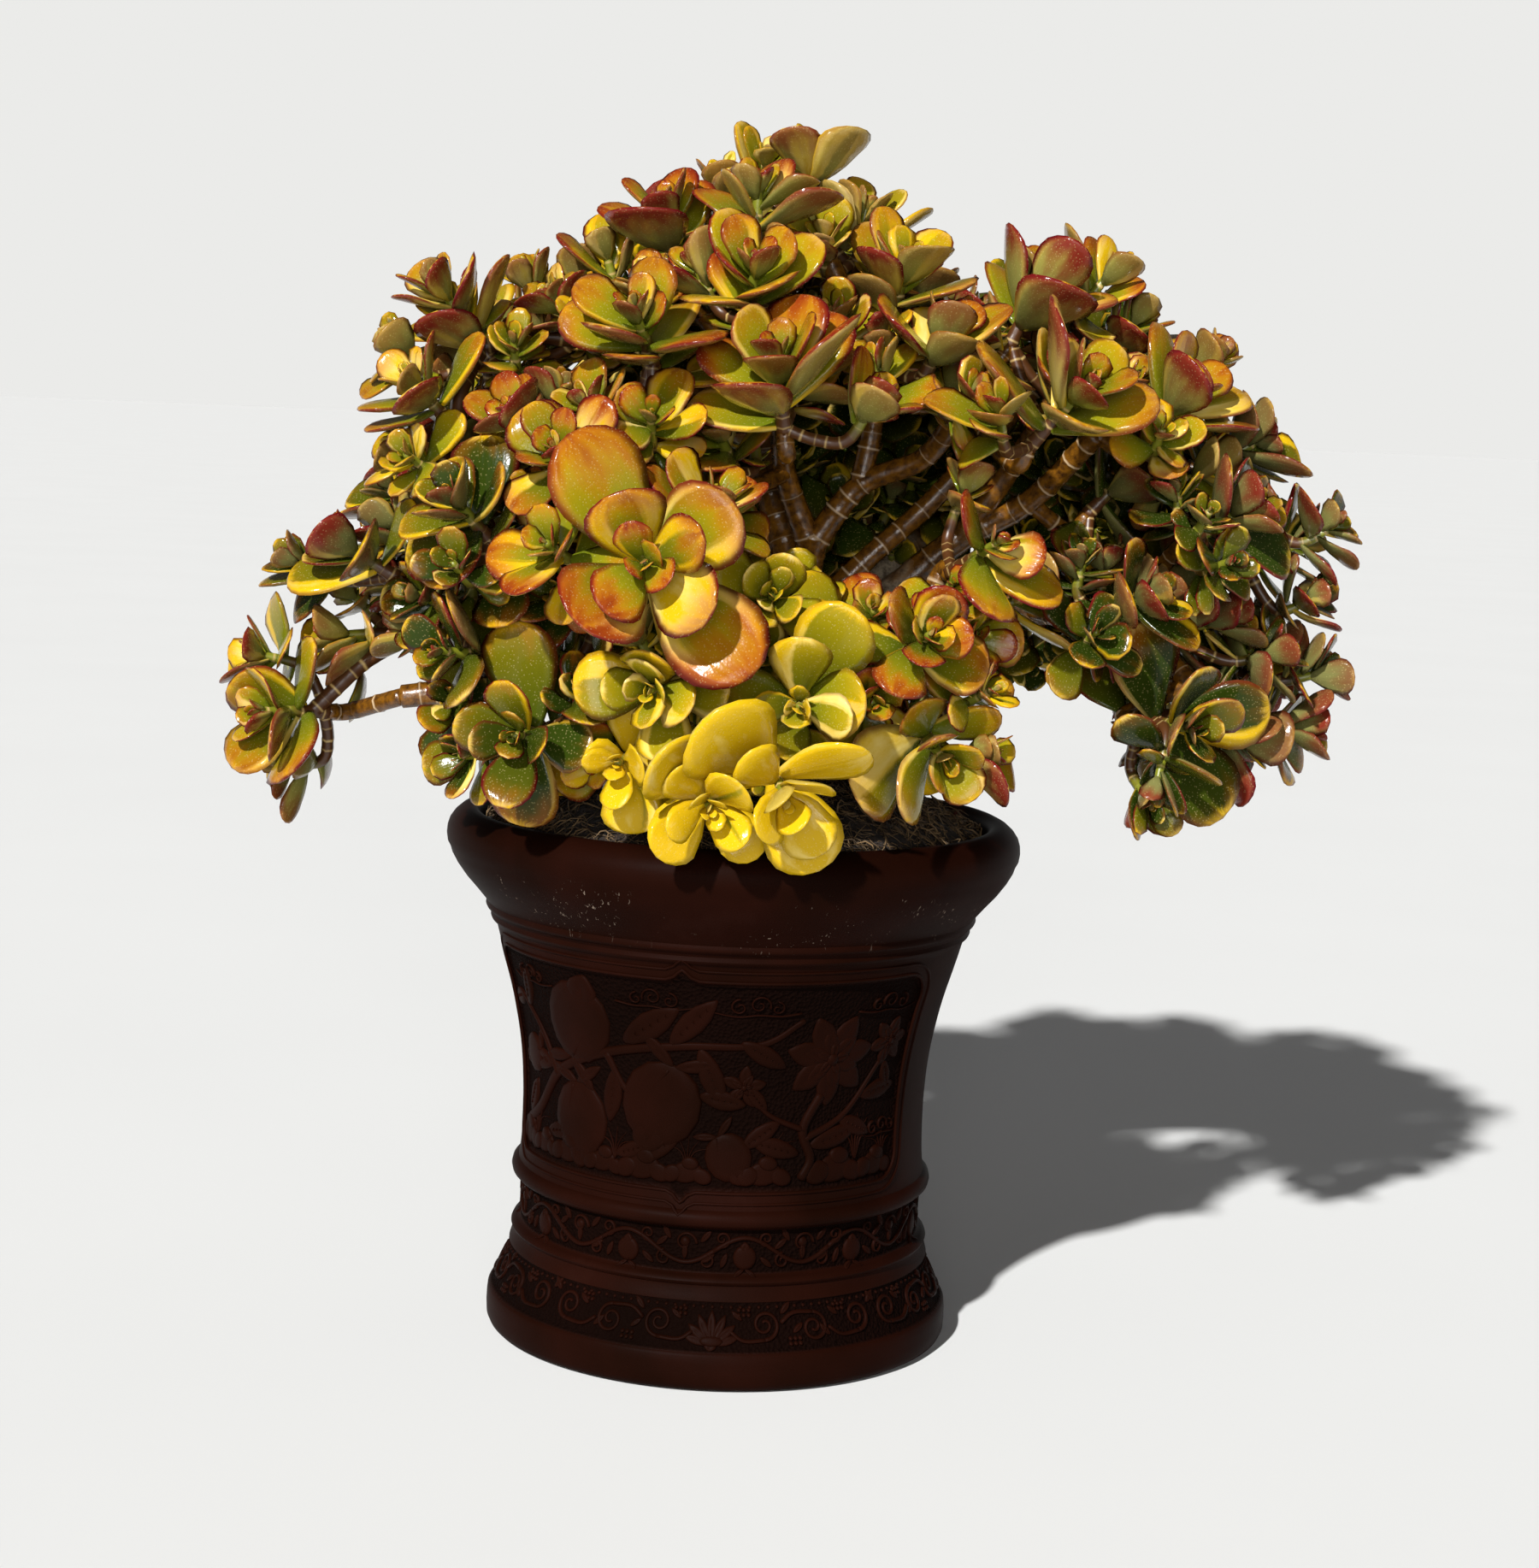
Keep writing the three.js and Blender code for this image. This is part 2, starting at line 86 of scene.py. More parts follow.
def castMesh(name, parts, materials, vectors):
    # One object from parts that hold co (mm), faces, finish and, for each of vectors, 3 numbers per vertex
    counts = np.cumsum([0] + [len(p["co"]) for p in parts])
    faces = [[i + start for i in f] for p, start in zip(parts, counts) for f in p["faces"]]
    mesh = bpy.data.meshes.new(name)
    mesh.from_pydata((np.concatenate([p["co"] for p in parts]) * mm).tolist(), [], faces)
    for key in vectors:
        values = np.concatenate([np.broadcast_to(p[key], (len(p["co"]), 3)) for p in parts])
        layer = mesh.attributes.new(key, "FLOAT_VECTOR", "POINT")
        layer.data.foreach_set("vector", values.astype(np.float32).ravel())
    finishes = np.concatenate([np.full(len(p["faces"]), p.get("finish", 0)) for p in parts])
    mesh.polygons.foreach_set("material_index", finishes.astype(np.int32))
    mesh.polygons.foreach_set("use_smooth", np.full(len(faces), True))
    for m in materials:
        mesh.materials.append(m)
    mesh.validate()
    made = bpy.data.objects.new(name, mesh)
    bpy.context.scene.collection.objects.link(made)
    return made


def keepPiece(piece, slot, *nodes):
    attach(piece, "root")
    if nodes:
        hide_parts(*nodes)


def curveThrough(points, step):
    # Catmull-Rom through rows of numbers, with a point about every step
    rows = np.array(points, float)
    ahead = np.vstack([2 * rows[0] - rows[1], rows, 2 * rows[-1] - rows[-2]])
    out = []
    for i in range(len(rows) - 1):
        a, b, c, d = ahead[i:i + 4]
        count = max(1, round(np.linalg.norm((c - b)[:3]) / step))
        t = (np.arange(count) / count)[:, None]
        out.append(0.5 * (2 * b + (c - a) * t + (2 * a - 5 * b + 4 * c - d) * t ** 2
                          + (3 * b - a - 3 * c + d) * t ** 3))
    return np.concatenate([*out, rows[-1:]])


def runAlong(path):
    return np.concatenate([[0], np.cumsum(np.linalg.norm(np.diff(path[:, :3], axis=0), axis=1))])


def sweep(path, radii, sides, shape=None):
    # A closed tube round a path, with an end point on each cap. Shape gives a factor for each ring's corners
    path = np.asarray(path, float)
    along = np.gradient(path, axis=0)
    along /= np.linalg.norm(along, axis=1)[:, None]
    across = unit(np.cross((0.31, 0.17, 0.93), along[0]))
    turns = np.arange(sides) * 2 * math.pi / sides
    rings = []
    for i, p in enumerate(path):
        across = unit(across - along[i] * across.dot(along[i]))
        over = np.cross(along[i], across)
        reach = radii[i] * (shape[i] if shape is not None else np.ones(sides))
        rings.append(p + (np.cos(turns) * reach)[:, None] * across
                     + (np.sin(turns) * reach)[:, None] * over)
    bulge = 0.5 * np.array([radii[0], radii[-1]])
    ends = [path[0] - along[0] * bulge[0], path[-1] + along[-1] * bulge[1]]
    faces = []
    for i in range(len(path) - 1):
        for k in range(sides):
            a, b = i * sides + k, i * sides + (k + 1) % sides
            faces.append((a, b, b + sides, a + sides))
    last = (len(path) - 1) * sides
    for k in range(sides):
        faces.append((last + sides, (k + 1) % sides, k))
        faces.append((last + sides + 1, last + k, last + (k + 1) % sides))
    return {"co": np.concatenate([*rings, ends]), "faces": faces}


def addNode(tree, kind, inputs=(), named=None, **settings):
    # Inputs go in order or by name among those in use, each as a value or as the node or socket to link
    new = tree.nodes.new("ShaderNode" + kind)
    for key, value in settings.items():
        setattr(new, key, value)
    usable = [s for s in new.inputs if s.enabled]
    wanted = list(zip(usable, inputs))
    wanted += [(next(s for s in usable if s.name == key), value) for key, value in (named or {}).items()]
    for socket, value in wanted:
        if isinstance(value, (bpy.types.Node, bpy.types.NodeSocket)):
            plug(tree, value, socket)
        else:
            socket.default_value = value
    return new


def newMaterial(name):
    made = bpy.data.materials.new(name)
    made.use_nodes = True
    return made, made.node_tree, made.node_tree.nodes["Principled BSDF"]


def plug(tree, source, socket):
    if isinstance(source, bpy.types.Node):
        source = next(s for s in source.outputs if s.enabled)
    tree.links.new(source, socket)


# Materials

leafFinish = {
    "olive": "#5C6410", "darkGreen": "#263208", "lime": "#9E880E", "yellow": "#BE9A10", "cream": "#D6C070",
    "orange": "#A05210", "brick": "#6A200C", "crimson": "#5C0E12", "underGreen": "#8E8852",
    "underRed": "#6C2418", "speck": "#CFBC7E", "streaks": 7.0, "speckSize": 1.2, "roughness": (0.09, 0.24),
    "specular": 0.2,
}


def makeLeafMaterial():
    # Jade plant leaf: watery flesh under a waxed cuticle, so it is glossy with sharp lengthwise highlights
    made, tree, shader = newMaterial("waxyJadeLeaf")
    f = leafFinish
    blade, pattern, tint = [
        addNode(tree, "SeparateXYZ", [addNode(tree, "Attribute", attribute_name=name).outputs["Vector"]])
        for name in ("leafPlace", "leafPattern", "leafTint")]
    along, across, under = blade.outputs
    yellow, shift, seed = pattern.outputs
    flush, darkGreenAndPaintedShade, rimRed = tint.outputs

    # Streaks run the leaf's length and meet at its root and tip
    narrowed = addNode(tree, "Math", [across, f["streaks"]], operation="MULTIPLY")
    streakSeed = addNode(tree, "Math", [seed, 90.0], operation="MULTIPLY")
    streakAt = addNode(tree, "CombineXYZ", [along, narrowed, streakSeed])
    streak = addNode(tree, "TexNoise", [streakAt, 1.0, 4.0])
    cloudSeed = addNode(tree, "Math", [seed, 57.0], operation="MULTIPLY")
    cloudAt = addNode(tree, "CombineXYZ", [along, across, cloudSeed])
    cloud = addNode(tree, "TexNoise", [cloudAt, 2.0, 4.0, 0.5])

    # The green sector: its edges are sharp and streaked, and it stops short of the tip
    wavering = addNode(tree, "Math", [streak, 0.24, shift], operation="MULTIPLY_ADD")
    apart = addNode(tree, "Math", [wavering, 0.12], operation="SUBTRACT")
    toMiddle = addNode(tree, "Math", [across, apart], operation="ADD")
    fromMiddle = addNode(tree, "Math", [toMiddle], operation="ABSOLUTE")
    halfWidth = addNode(tree, "Math", [yellow, -1.3, 1.38], operation="MULTIPLY_ADD")
    inside = addNode(tree, "Math", [halfWidth, fromMiddle], operation="SUBTRACT")
    sector = addNode(tree, "MapRange", [inside, -0.08, 0.1], interpolation_type="SMOOTHSTEP")
    toTip = addNode(tree, "Math", [streak, 0.12, along], operation="MULTIPLY_ADD")
    shortOfTip = addNode(tree, "MapRange", [toTip, 0.95, 1.06, 1.0, 0.0], interpolation_type="SMOOTHSTEP")
    green = addNode(tree, "Math", [sector, shortOfTip], operation="MULTIPLY")

    ripe = addNode(tree, "MapRange", [toTip, 0.25, 0.95, 0.0, 0.85])
    lively = addNode(tree, "Mix", [ripe, hexColour(f["olive"]), hexColour(f["lime"])], data_type="RGBA")
    # The shade share mixes in dark green: partly the deeper green of leaves grown in shade, partly painted
    # shade
    greens = addNode(tree, "Mix", [darkGreenAndPaintedShade, lively, hexColour(f["darkGreen"])], data_type="RGBA")
    paler = addNode(tree, "Math", [seed, 0.3, cloud], operation="MULTIPLY_ADD")
    pale = addNode(tree, "MapRange", [paler, 0.6, 0.94])
    yellows = addNode(tree, "Mix", [pale, hexColour(f["yellow"]), hexColour(f["cream"])], data_type="RGBA")
    skin = addNode(tree, "Mix", [green, yellows, greens], data_type="RGBA")

    # Sun flush: orange spreading from the tip, brick red beyond it, crimson on the rim
    nearEdge = addNode(tree, "Math", [across, 4.0], operation="POWER")
    outwards = addNode(tree, "Math", [nearEdge, 0.18, along], operation="MULTIPLY_ADD")
    mottled = addNode(tree, "Math", [cloud, 0.75, outwards], operation="MULTIPLY_ADD")
    flushAt = addNode(tree, "Math", [flush, 0.35, mottled], operation="MULTIPLY_ADD")
    flushed = addNode(tree, "MapRange", [flushAt, 1.18, 1.7], interpolation_type="SMOOTHSTEP")
    flushMask = addNode(tree, "Math", [flushed, flush], operation="MULTIPLY")
    redder = addNode(tree, "MapRange", [flushAt, 1.36, 1.85], interpolation_type="SMOOTHSTEP")
    warm = addNode(tree, "Mix", [redder, hexColour(f["orange"]), hexColour(f["brick"])], data_type="RGBA")
    sunned = addNode(tree, "Mix", [flushMask, skin, warm], data_type="RGBA")

    # The underside is greyer and mottled, with crimson towards its tip
    mottle = addNode(tree, "Math", [cloud, 0.8, along], operation="MULTIPLY_ADD")
    crimsonAt = addNode(tree, "MapRange", [mottle, 0.74, 1.3], interpolation_type="SMOOTHSTEP")
    crimsonMask = addNode(tree, "Math", [crimsonAt, rimRed], operation="MULTIPLY")
    dull = addNode(tree, "Mix", [0.5, skin, hexColour(f["underGreen"])], data_type="RGBA")
    below = addNode(tree, "Mix", [crimsonMask, dull, hexColour(f["underRed"])], data_type="RGBA")
    isUnder = addNode(tree, "MapRange", [under, 0.5, 0.62])
    bothSides = addNode(tree, "Mix", [isUnder, sunned, below], data_type="RGBA")

    toSide = addNode(tree, "Math", [across], operation="ABSOLUTE")
    toEnd = addNode(tree, "MapRange", [along, 0.9, 1.0])
    rimAt = addNode(tree, "Math", [toSide, toEnd], operation="MAXIMUM")
    rim = addNode(tree, "MapRange", [rimAt, 0.78, 0.97], interpolation_type="SMOOTHSTEP")
    rimTip = addNode(tree, "MapRange", [along, 0.1, 0.5])
    rimShape = addNode(tree, "Math", [rim, rimTip], operation="MULTIPLY")
    rimMask = addNode(tree, "Math", [rimShape, rimRed], operation="MULTIPLY")
    edged = addNode(tree, "Mix", [rimMask, bothSides, hexColour(f["crimson"])], data_type="RGBA")

    # Pale water pores about 1.2 mm apart
    place = addNode(tree, "TexCoord").outputs["Object"]
    pores = addNode(tree, "TexVoronoi", [place, 1 / (f["speckSize"] * mm)])
    speck = addNode(tree, "MapRange", [pores, 0.12, 0.3, 0.2, 0.0])
    dotted = addNode(tree, "Mix", [speck, edged, hexColour(f["speck"])], data_type="RGBA")
    plug(tree, dotted, shader.inputs["Base Color"])
    gloss = addNode(tree, "MapRange", [streak, 0.3, 0.7, *f["roughness"]])
    plug(tree, gloss, shader.inputs["Roughness"])
    relief = addNode(tree, "Math", [pores, 0.35, streak], operation="MULTIPLY_ADD")
    bump = addNode(tree, "Bump", named={"Strength": 0.5, "Distance": 0.18 * mm, "Height": relief})
    plug(tree, bump, shader.inputs["Normal"])
    shader.inputs["IOR"].default_value = 1.45
    shader.inputs["Specular IOR Level"].default_value = f["specular"]
    return made


stemFinish = {
    "green": "#6E701A", "brown": "#4A2A10", "ring": "#B79A60", "greenLength": 15, "greenFade": 8,
    "roughness": 0.38,
}


def makeStemMaterial():
    # Young jade stem: green and waxy, with a pale scar where each pair of leaves stood
    made, tree, shader = newMaterial("greenJadeStem")
    f = stemFinish
    ring, toTip = addNode(tree, "SeparateXYZ", [
        addNode(tree, "Attribute", attribute_name="leafPlace").outputs["Vector"]]).outputs[1:]
    place = addNode(tree, "TexCoord").outputs["Object"]
    mottle = addNode(tree, "TexNoise", [place, 400.0, 3.0])
    fromTip = addNode(tree, "Math", [mottle, 9.0, toTip], operation="MULTIPLY_ADD")
    woody = addNode(tree, "MapRange", [fromTip, f["greenLength"], f["greenLength"] + f["greenFade"]])
    tone = addNode(tree, "Mix", [woody, hexColour(f["green"]), hexColour(f["brown"])], data_type="RGBA")
    scar = addNode(tree, "MapRange", [ring, 0.4, 0.9])
    ringed = addNode(tree, "Mix", [scar, tone, hexColour(f["ring"])], data_type="RGBA")
    plug(tree, ringed, shader.inputs["Base Color"])
    bump = addNode(tree, "Bump", named={"Strength": 0.3, "Distance": 0.3 * mm, "Height": mottle})
    plug(tree, bump, shader.inputs["Normal"])
    shader.inputs["Roughness"].default_value = f["roughness"]
    return made


barkFinish = {
    "deep": "#301A08", "brown": "#80520F", "ring": "#B89E7A", "grey": "#9A8A72", "greyDark": "#4A3D2E",
    "grain": 1.1, "roughness": (0.24, 0.85),
}


def makeBarkMaterial():
    # Jade bark: young twigs have a glossy brown skin with pale leaf scars, and old wood is grey and dry
    made, tree, shader = newMaterial("jadeBark")
    f = barkFinish
    ring, age = addNode(tree, "SeparateXYZ", [
        addNode(tree, "Attribute", attribute_name="barkPlace").outputs["Vector"]]).outputs[1:]
    place = addNode(tree, "TexCoord").outputs["Object"]
    # Grain about 1.1 mm wide, drawn three times as coarse so that it shows
    grain = addNode(tree, "TexNoise", [place, 1 / (f["grain"] * mm) * 0.35, 5.0, 0.65])
    wear = addNode(tree, "TexNoise", [place, 90.0, 3.0])
    youngTone = addNode(tree, "MapRange", [grain, 0.3, 0.75])
    young = addNode(tree, "Mix", [youngTone, hexColour(f["deep"]), hexColour(f["brown"])], data_type="RGBA")
    oldTone = addNode(tree, "MapRange", [grain, 0.35, 0.6])
    old = addNode(tree, "Mix", [oldTone, hexColour(f["greyDark"]), hexColour(f["grey"])], data_type="RGBA")
    aged = addNode(tree, "Math", [wear, 0.7, age], operation="MULTIPLY_ADD")
    oldness = addNode(tree, "MapRange", [aged, 0.75, 1.05], interpolation_type="SMOOTHSTEP")
    wood = addNode(tree, "Mix", [oldness, young, old], data_type="RGBA")
    scar = addNode(tree, "MapRange", [ring, 0.45, 0.95])
    ringed = addNode(tree, "Mix", [scar, wood, hexColour(f["ring"])], data_type="RGBA")
    plug(tree, ringed, shader.inputs["Base Color"])
    gloss = addNode(tree, "MapRange", [oldness, 0.0, 1.0, *f["roughness"]])
    plug(tree, gloss, shader.inputs["Roughness"])
    bump = addNode(tree, "Bump", named={"Strength": 0.5, "Distance": 0.5 * mm, "Height": grain})
    plug(tree, bump, shader.inputs["Normal"])
    return made


# The ground colour, nearly black, is painted shade of the stipple pits and recess of the sunk ground
clayFinish = {
    "body": "#1B0804", "dark": "#120502", "ground": "#070302", "bloom": "#30201A", "lime": "#6E6054",
    "stipple": 1.5, "grit": 0.5, "roughness": (0.5, 0.85), "specular": 0.015,
}


def makeClayMaterial():
    # Unglazed stoneware: burnished smooth on the raised parts, matt and stippled on the sunk ground, which is
    # painted near black as the shade of its pits
    made, tree, shader = newMaterial("unglazedClay")
    f = clayFinish
    ground = addNode(tree, "SeparateXYZ", [
        addNode(tree, "Attribute", attribute_name="clayGround").outputs["Vector"]]).outputs[0]
    place = addNode(tree, "TexCoord").outputs["Object"]
    # Grit of 0.5 mm is drawn twice as coarse, so that it shows
    grit = addNode(tree, "TexNoise", [place, 1 / (f["grit"] * mm) * 0.5, 3.0])
    smear = addNode(tree, "TexNoise", [place, 22.0, 6.0])
    stipple = addNode(tree, "TexVoronoi", [place, 1 / (f["stipple"] * mm)])
    pits = addNode(tree, "Math", [stipple, ground], operation="MULTIPLY")
    fired = addNode(tree, "MapRange", [smear, 0.35, 0.7])
    tone = addNode(tree, "Mix", [fired, hexColour(f["dark"]), hexColour(f["body"])], data_type="RGBA")
    dusty = addNode(tree, "MapRange", [smear, 0.66, 0.8, 0.0, 0.12])
    dry = addNode(tree, "Mix", [dusty, tone, hexColour(f["bloom"])], data_type="RGBA")

    # Lime from the water has dried in thin trickles down the neck
    height = addNode(tree, "SeparateXYZ", [place]).outputs[2]
    squeezed = addNode(tree, "VectorMath", [place, (700.0, 700.0, 170.0)], operation="MULTIPLY")
    trickle = addNode(tree, "TexNoise", [squeezed, 1.0, 2.0], {"Distortion": 0.8})
    patch = addNode(tree, "TexNoise", [place, 38.0, 2.0])
    thin = addNode(tree, "MapRange", [trickle, 0.66, 0.7])
    here = addNode(tree, "MapRange", [patch, 0.52, 0.6])
    overRidges = addNode(tree, "MapRange", [height, 0.178, 0.186])
    underLip = addNode(tree, "MapRange", [height, 0.2, 0.206, 1.0, 0.0])
    onNeck = addNode(tree, "Math", [overRidges, underLip], operation="MULTIPLY")
    splash = addNode(tree, "Math", [thin, here], operation="MULTIPLY")
    limed = addNode(tree, "Math", [splash, onNeck], operation="MULTIPLY")
    bloom = addNode(tree, "Mix", [limed, dry, hexColour(f["lime"])], data_type="RGBA")
    # The sunk ground is darkened to that colour: painted shade of its pits and recess, over its matt finish
    sunk = addNode(tree, "Math", [ground, 0.8], operation="MULTIPLY")
    colour = addNode(tree, "Mix", [sunk, bloom, hexColour(f["ground"])], data_type="RGBA")
    plug(tree, colour, shader.inputs["Base Color"])
    matt = addNode(tree, "MapRange", [ground, 0.0, 1.0, *f["roughness"]])
    plug(tree, matt, shader.inputs["Roughness"])
    fine = addNode(tree, "Bump", named={"Strength": 0.25, "Distance": 0.2 * mm, "Height": grit})
    coarse = addNode(tree, "Bump", named={
        "Strength": 1.0, "Distance": 0.9 * mm, "Height": pits, "Normal": fine})
    plug(tree, coarse, shader.inputs["Normal"])
    shader.inputs["Specular IOR Level"].default_value = f["specular"]
    return made


soilFinish = {"dark": "#0C0704", "crumb": "#2C1D11", "crumbSize": 3.0, "roughness": 0.95}


def makeSoilMaterial():
    # Potting mix: damp dark crumbs of peat and bark, quite matt
    made, tree, shader = newMaterial("pottingMix")
    f = soilFinish
    place = addNode(tree, "TexCoord").outputs["Object"]
    crumbs = addNode(tree, "TexVoronoi", [place, 1 / (f["crumbSize"] * mm)])
    peat = addNode(tree, "TexNoise", [place, 350.0, 4.0])
    dryness = addNode(tree, "MapRange", [peat, 0.35, 0.7])
    tone = addNode(tree, "Mix", [dryness, hexColour(f["dark"]), hexColour(f["crumb"])], data_type="RGBA")
    plug(tree, tone, shader.inputs["Base Color"])
    height = addNode(tree, "Math", [crumbs, peat], operation="ADD")
    bump = addNode(tree, "Bump", named={"Strength": 1.0, "Distance": 1.5 * mm, "Height": height})
    plug(tree, bump, shader.inputs["Normal"])
    shader.inputs["Roughness"].default_value = f["roughness"]
    return made


fibreFinish = {"tan": "#6E5636", "brown": "#1A120B", "roughness": 0.8}


def makeFibreMaterial():
    # Dry fibrous moss: bleached tan strands among brown ones
    made, tree, shader = newMaterial("dryMossFibre")
    f = fibreFinish
    strand = addNode(tree, "SeparateXYZ", [
        addNode(tree, "Attribute", attribute_name="strandTint").outputs["Vector"]]).outputs[0]
    place = addNode(tree, "TexCoord").outputs["Object"]
    mottle = addNode(tree, "TexNoise", [place, 600.0])
    tone = addNode(tree, "Math", [mottle, 0.5, strand], operation="MULTIPLY_ADD")
    bleached = addNode(tree, "MapRange", [tone, 0.3, 1.1])
    colour = addNode(tree, "Mix", [bleached, hexColour(f["brown"]), hexColour(f["tan"])], data_type="RGBA")
    plug(tree, colour, shader.inputs["Base Color"])
    shader.inputs["Roughness"].default_value = f["roughness"]
    return made


floorFinish = {"low": "#D6D6D4", "high": "#DADAD8", "roughness": 0.9}


def makeFloorMaterial():
    # White painted board, a little uneven
    made, tree, shader = newMaterial("whiteBoard")
    f = floorFinish
    uneven = addNode(tree, "TexNoise", [addNode(tree, "TexCoord").outputs["Object"], 3.0])
    colour = addNode(tree, "Mix", [uneven, hexColour(f["low"]), hexColour(f["high"])], data_type="RGBA")
    plug(tree, colour, shader.inputs["Base Color"])
    shader.inputs["Roughness"].default_value = f["roughness"]
    return made


waxyJadeLeaf = makeLeafMaterial()
greenJadeStem = makeStemMaterial()
jadeBark = makeBarkMaterial()
unglazedClay = makeClayMaterial()
pottingMix = makeSoilMaterial()
dryMossFibre = makeFibreMaterial()
print("materials made")


# The pot

potShape = {
    "columns": 300, "rowStep": 1.9, "waist": 85, "panelTurn": -10, "panelHalf": 68, "panelLow": 79,
    "panelHigh": 166, "panelDepth": 1.6, "panelFade": 1.5, "cornerRadius": 11, "cuspRise": 4.5,
    "cuspReach": 7, "wallLow": 74, "wallHigh": 172, "floor": 13, "drains": 3, "drainRadius": 7,
    "drainCircle": 44, "drainTurn": 30, "mouth": 106, "lip": 122, "lipTop": 222.5,
    "bands": ((17, 34.9), (46, 63.6)), "bandInside": 83, "smoothUnder": 40,
}
# Outside from the foot to the lip, as radius and height
potOutside = [
    (91, 0), (94.5, 0.4), (97, 1.8), (98, 4), (98.2, 8), (98.1, 12), (97.8, 15), (97, 16.4), (95.7, 17),
    (94.7, 19), (93.4, 22), (92, 25), (90.7, 28), (89.6, 31), (88.7, 34), (88.7, 34.8), (89.3, 35.4),
    (88.7, 37.5), (87.5, 40), (87.4, 41.2), (88.3, 41.9), (88.7, 43), (88.2, 44.1), (86.6, 45),
    (84.9, 45.7), (84.3, 46.7), (84.2, 50), (84.2, 55), (84.2, 60), (84.3, 63.4), (85.6, 64.2),
    (87.5, 64.9), (88.7, 66.2), (89.1, 68), (88.7, 69.8), (87.5, 71.1), (86.3, 71.7), (86, 73.5),
    (85.7, 76), (85.4, 79), (85.2, 83), (85.1, 87), (85, 91), (85, 95), (85, 99), (85.1, 103),
    (85.3, 107), (85.5, 111), (85.8, 115), (86.2, 119), (86.7, 123), (87.3, 127), (88, 131), (88.8, 135),
    (89.6, 139), (90.5, 143), (91.5, 147), (92.6, 151), (93.8, 155), (95, 159), (96, 162.5), (97, 166),
    (97.8, 169), (98.6, 172), (99.4, 173.6), (100.8, 174.3), (101.2, 175.2), (100.9, 176.1),
    (100.7, 176.9), (101.6, 178.5), (103, 179.2), (103.4, 180.1), (103.2, 181), (103, 181.9),
    (104.6, 184), (108.4, 188.5), (112.4, 193), (116, 198), (118.2, 202), (119, 204.6), (120.1, 206.6),
    (120.5, 209.4), (120.3, 212.2), (119.5, 214.8), (117.8, 217.3), (115.4, 219.4), (112.8, 220.7),
    (110.4, 221), (108.3, 220.3), (106.9, 218.6), (106.1, 216.4),
]
potInside = [
    (105.4, 212), (103, 206), (97, 196), (90.5, 180), (85.2, 165), (79.5, 145), (78, 130), (78, 60),
    (78, 13),
]


def wallRadius(z):
    rows = np.array(potOutside)
    return np.interp(z, rows[:, 1], rows[:, 0])


def spinProfile(profile, columns):
    # A chain of vertices is extruded along the profile, then spun round the pot's axis
    deselectAll()
    bpy.ops.mesh.primitive_plane_add(size=1 * mm)
    bpy.ops.object.mode_set(mode="EDIT")
    bpy.ops.mesh.merge(type="CENTER")
    previous = (0, 0)
    for r, z in profile:
        step = ((r - previous[0]) * mm, 0, (z - previous[1]) * mm)
        bpy.ops.mesh.extrude_region_move(TRANSFORM_OT_translate={"value": step})
        previous = (r, z)
    bpy.ops.mesh.select_all(action="SELECT")
    bpy.ops.mesh.spin(steps=columns, angle=2 * math.pi, center=(0, 0, 0), axis=(0, 0, 1))
    bpy.ops.mesh.select_all(action="SELECT")
    bpy.ops.mesh.remove_doubles(threshold=0.01 * mm)
    bpy.ops.mesh.normals_make_consistent(inside=False)
    bpy.ops.object.mode_set(mode="OBJECT")
    return bpy.context.object


def panelEdge(x, z):
    # How far inside a panel's outline a point is, in mm, for x along the wall from the panel's middle
    p = potShape
    halfX = math.radians(p["panelHalf"]) * p["waist"]
    middle, halfZ = (p["panelLow"] + p["panelHigh"]) / 2, (p["panelHigh"] - p["panelLow"]) / 2
    # A pointed bulge in the middle of the long edges
    cusp = p["cuspRise"] * np.clip(1 - np.abs(x) / p["cuspReach"], 0, 1) ** 2
    dx = np.abs(x) - (halfX - p["cornerRadius"])
    dz = np.abs(z - middle) - (halfZ + cusp - p["cornerRadius"])
    outside = np.hypot(np.maximum(dx, 0), np.maximum(dz, 0)) + np.minimum(np.maximum(dx, dz), 0)
    return p["cornerRadius"] - outside


def finerRows(profile, low, high, step):
    # Extra rows between two heights, where the panels are sunk
    out = [profile[0]]
    for (r0, z0), (r1, z1) in zip(profile, profile[1:]):
        count = max(1, round((z1 - z0) / step)) if low <= z0 and z1 <= high else 1
        out += [(r0 + (r1 - r0) * k / count, z0 + (z1 - z0) * k / count) for k in range(1, count + 1)]
    return out


def pointsOf(made):
    co = np.zeros(len(made.data.vertices) * 3)
    made.data.vertices.foreach_get("co", co)
    return co.reshape(-1, 3) / mm


def panelGround(co):
    # 1 on the sunk ground of both panels, and down to 0 just inside their edges
    p = potShape
    r, turn = np.hypot(co[:, 0], co[:, 1]), np.degrees(np.arctan2(co[:, 0], -co[:, 1]))
    onWall = (co[:, 2] > p["wallLow"]) & (co[:, 2] < p["wallHigh"]) & (r > wallRadius(co[:, 2]) - 2)
    ground = np.zeros(len(co))
    for middle in (p["panelTurn"], p["panelTurn"] + 180):
        x = np.radians((turn - middle + 180) % 360 - 180) * p["waist"]
        ground = np.maximum(ground, np.clip(panelEdge(x, co[:, 2]) / p["panelFade"], 0, 1) * onWall)
    return ground


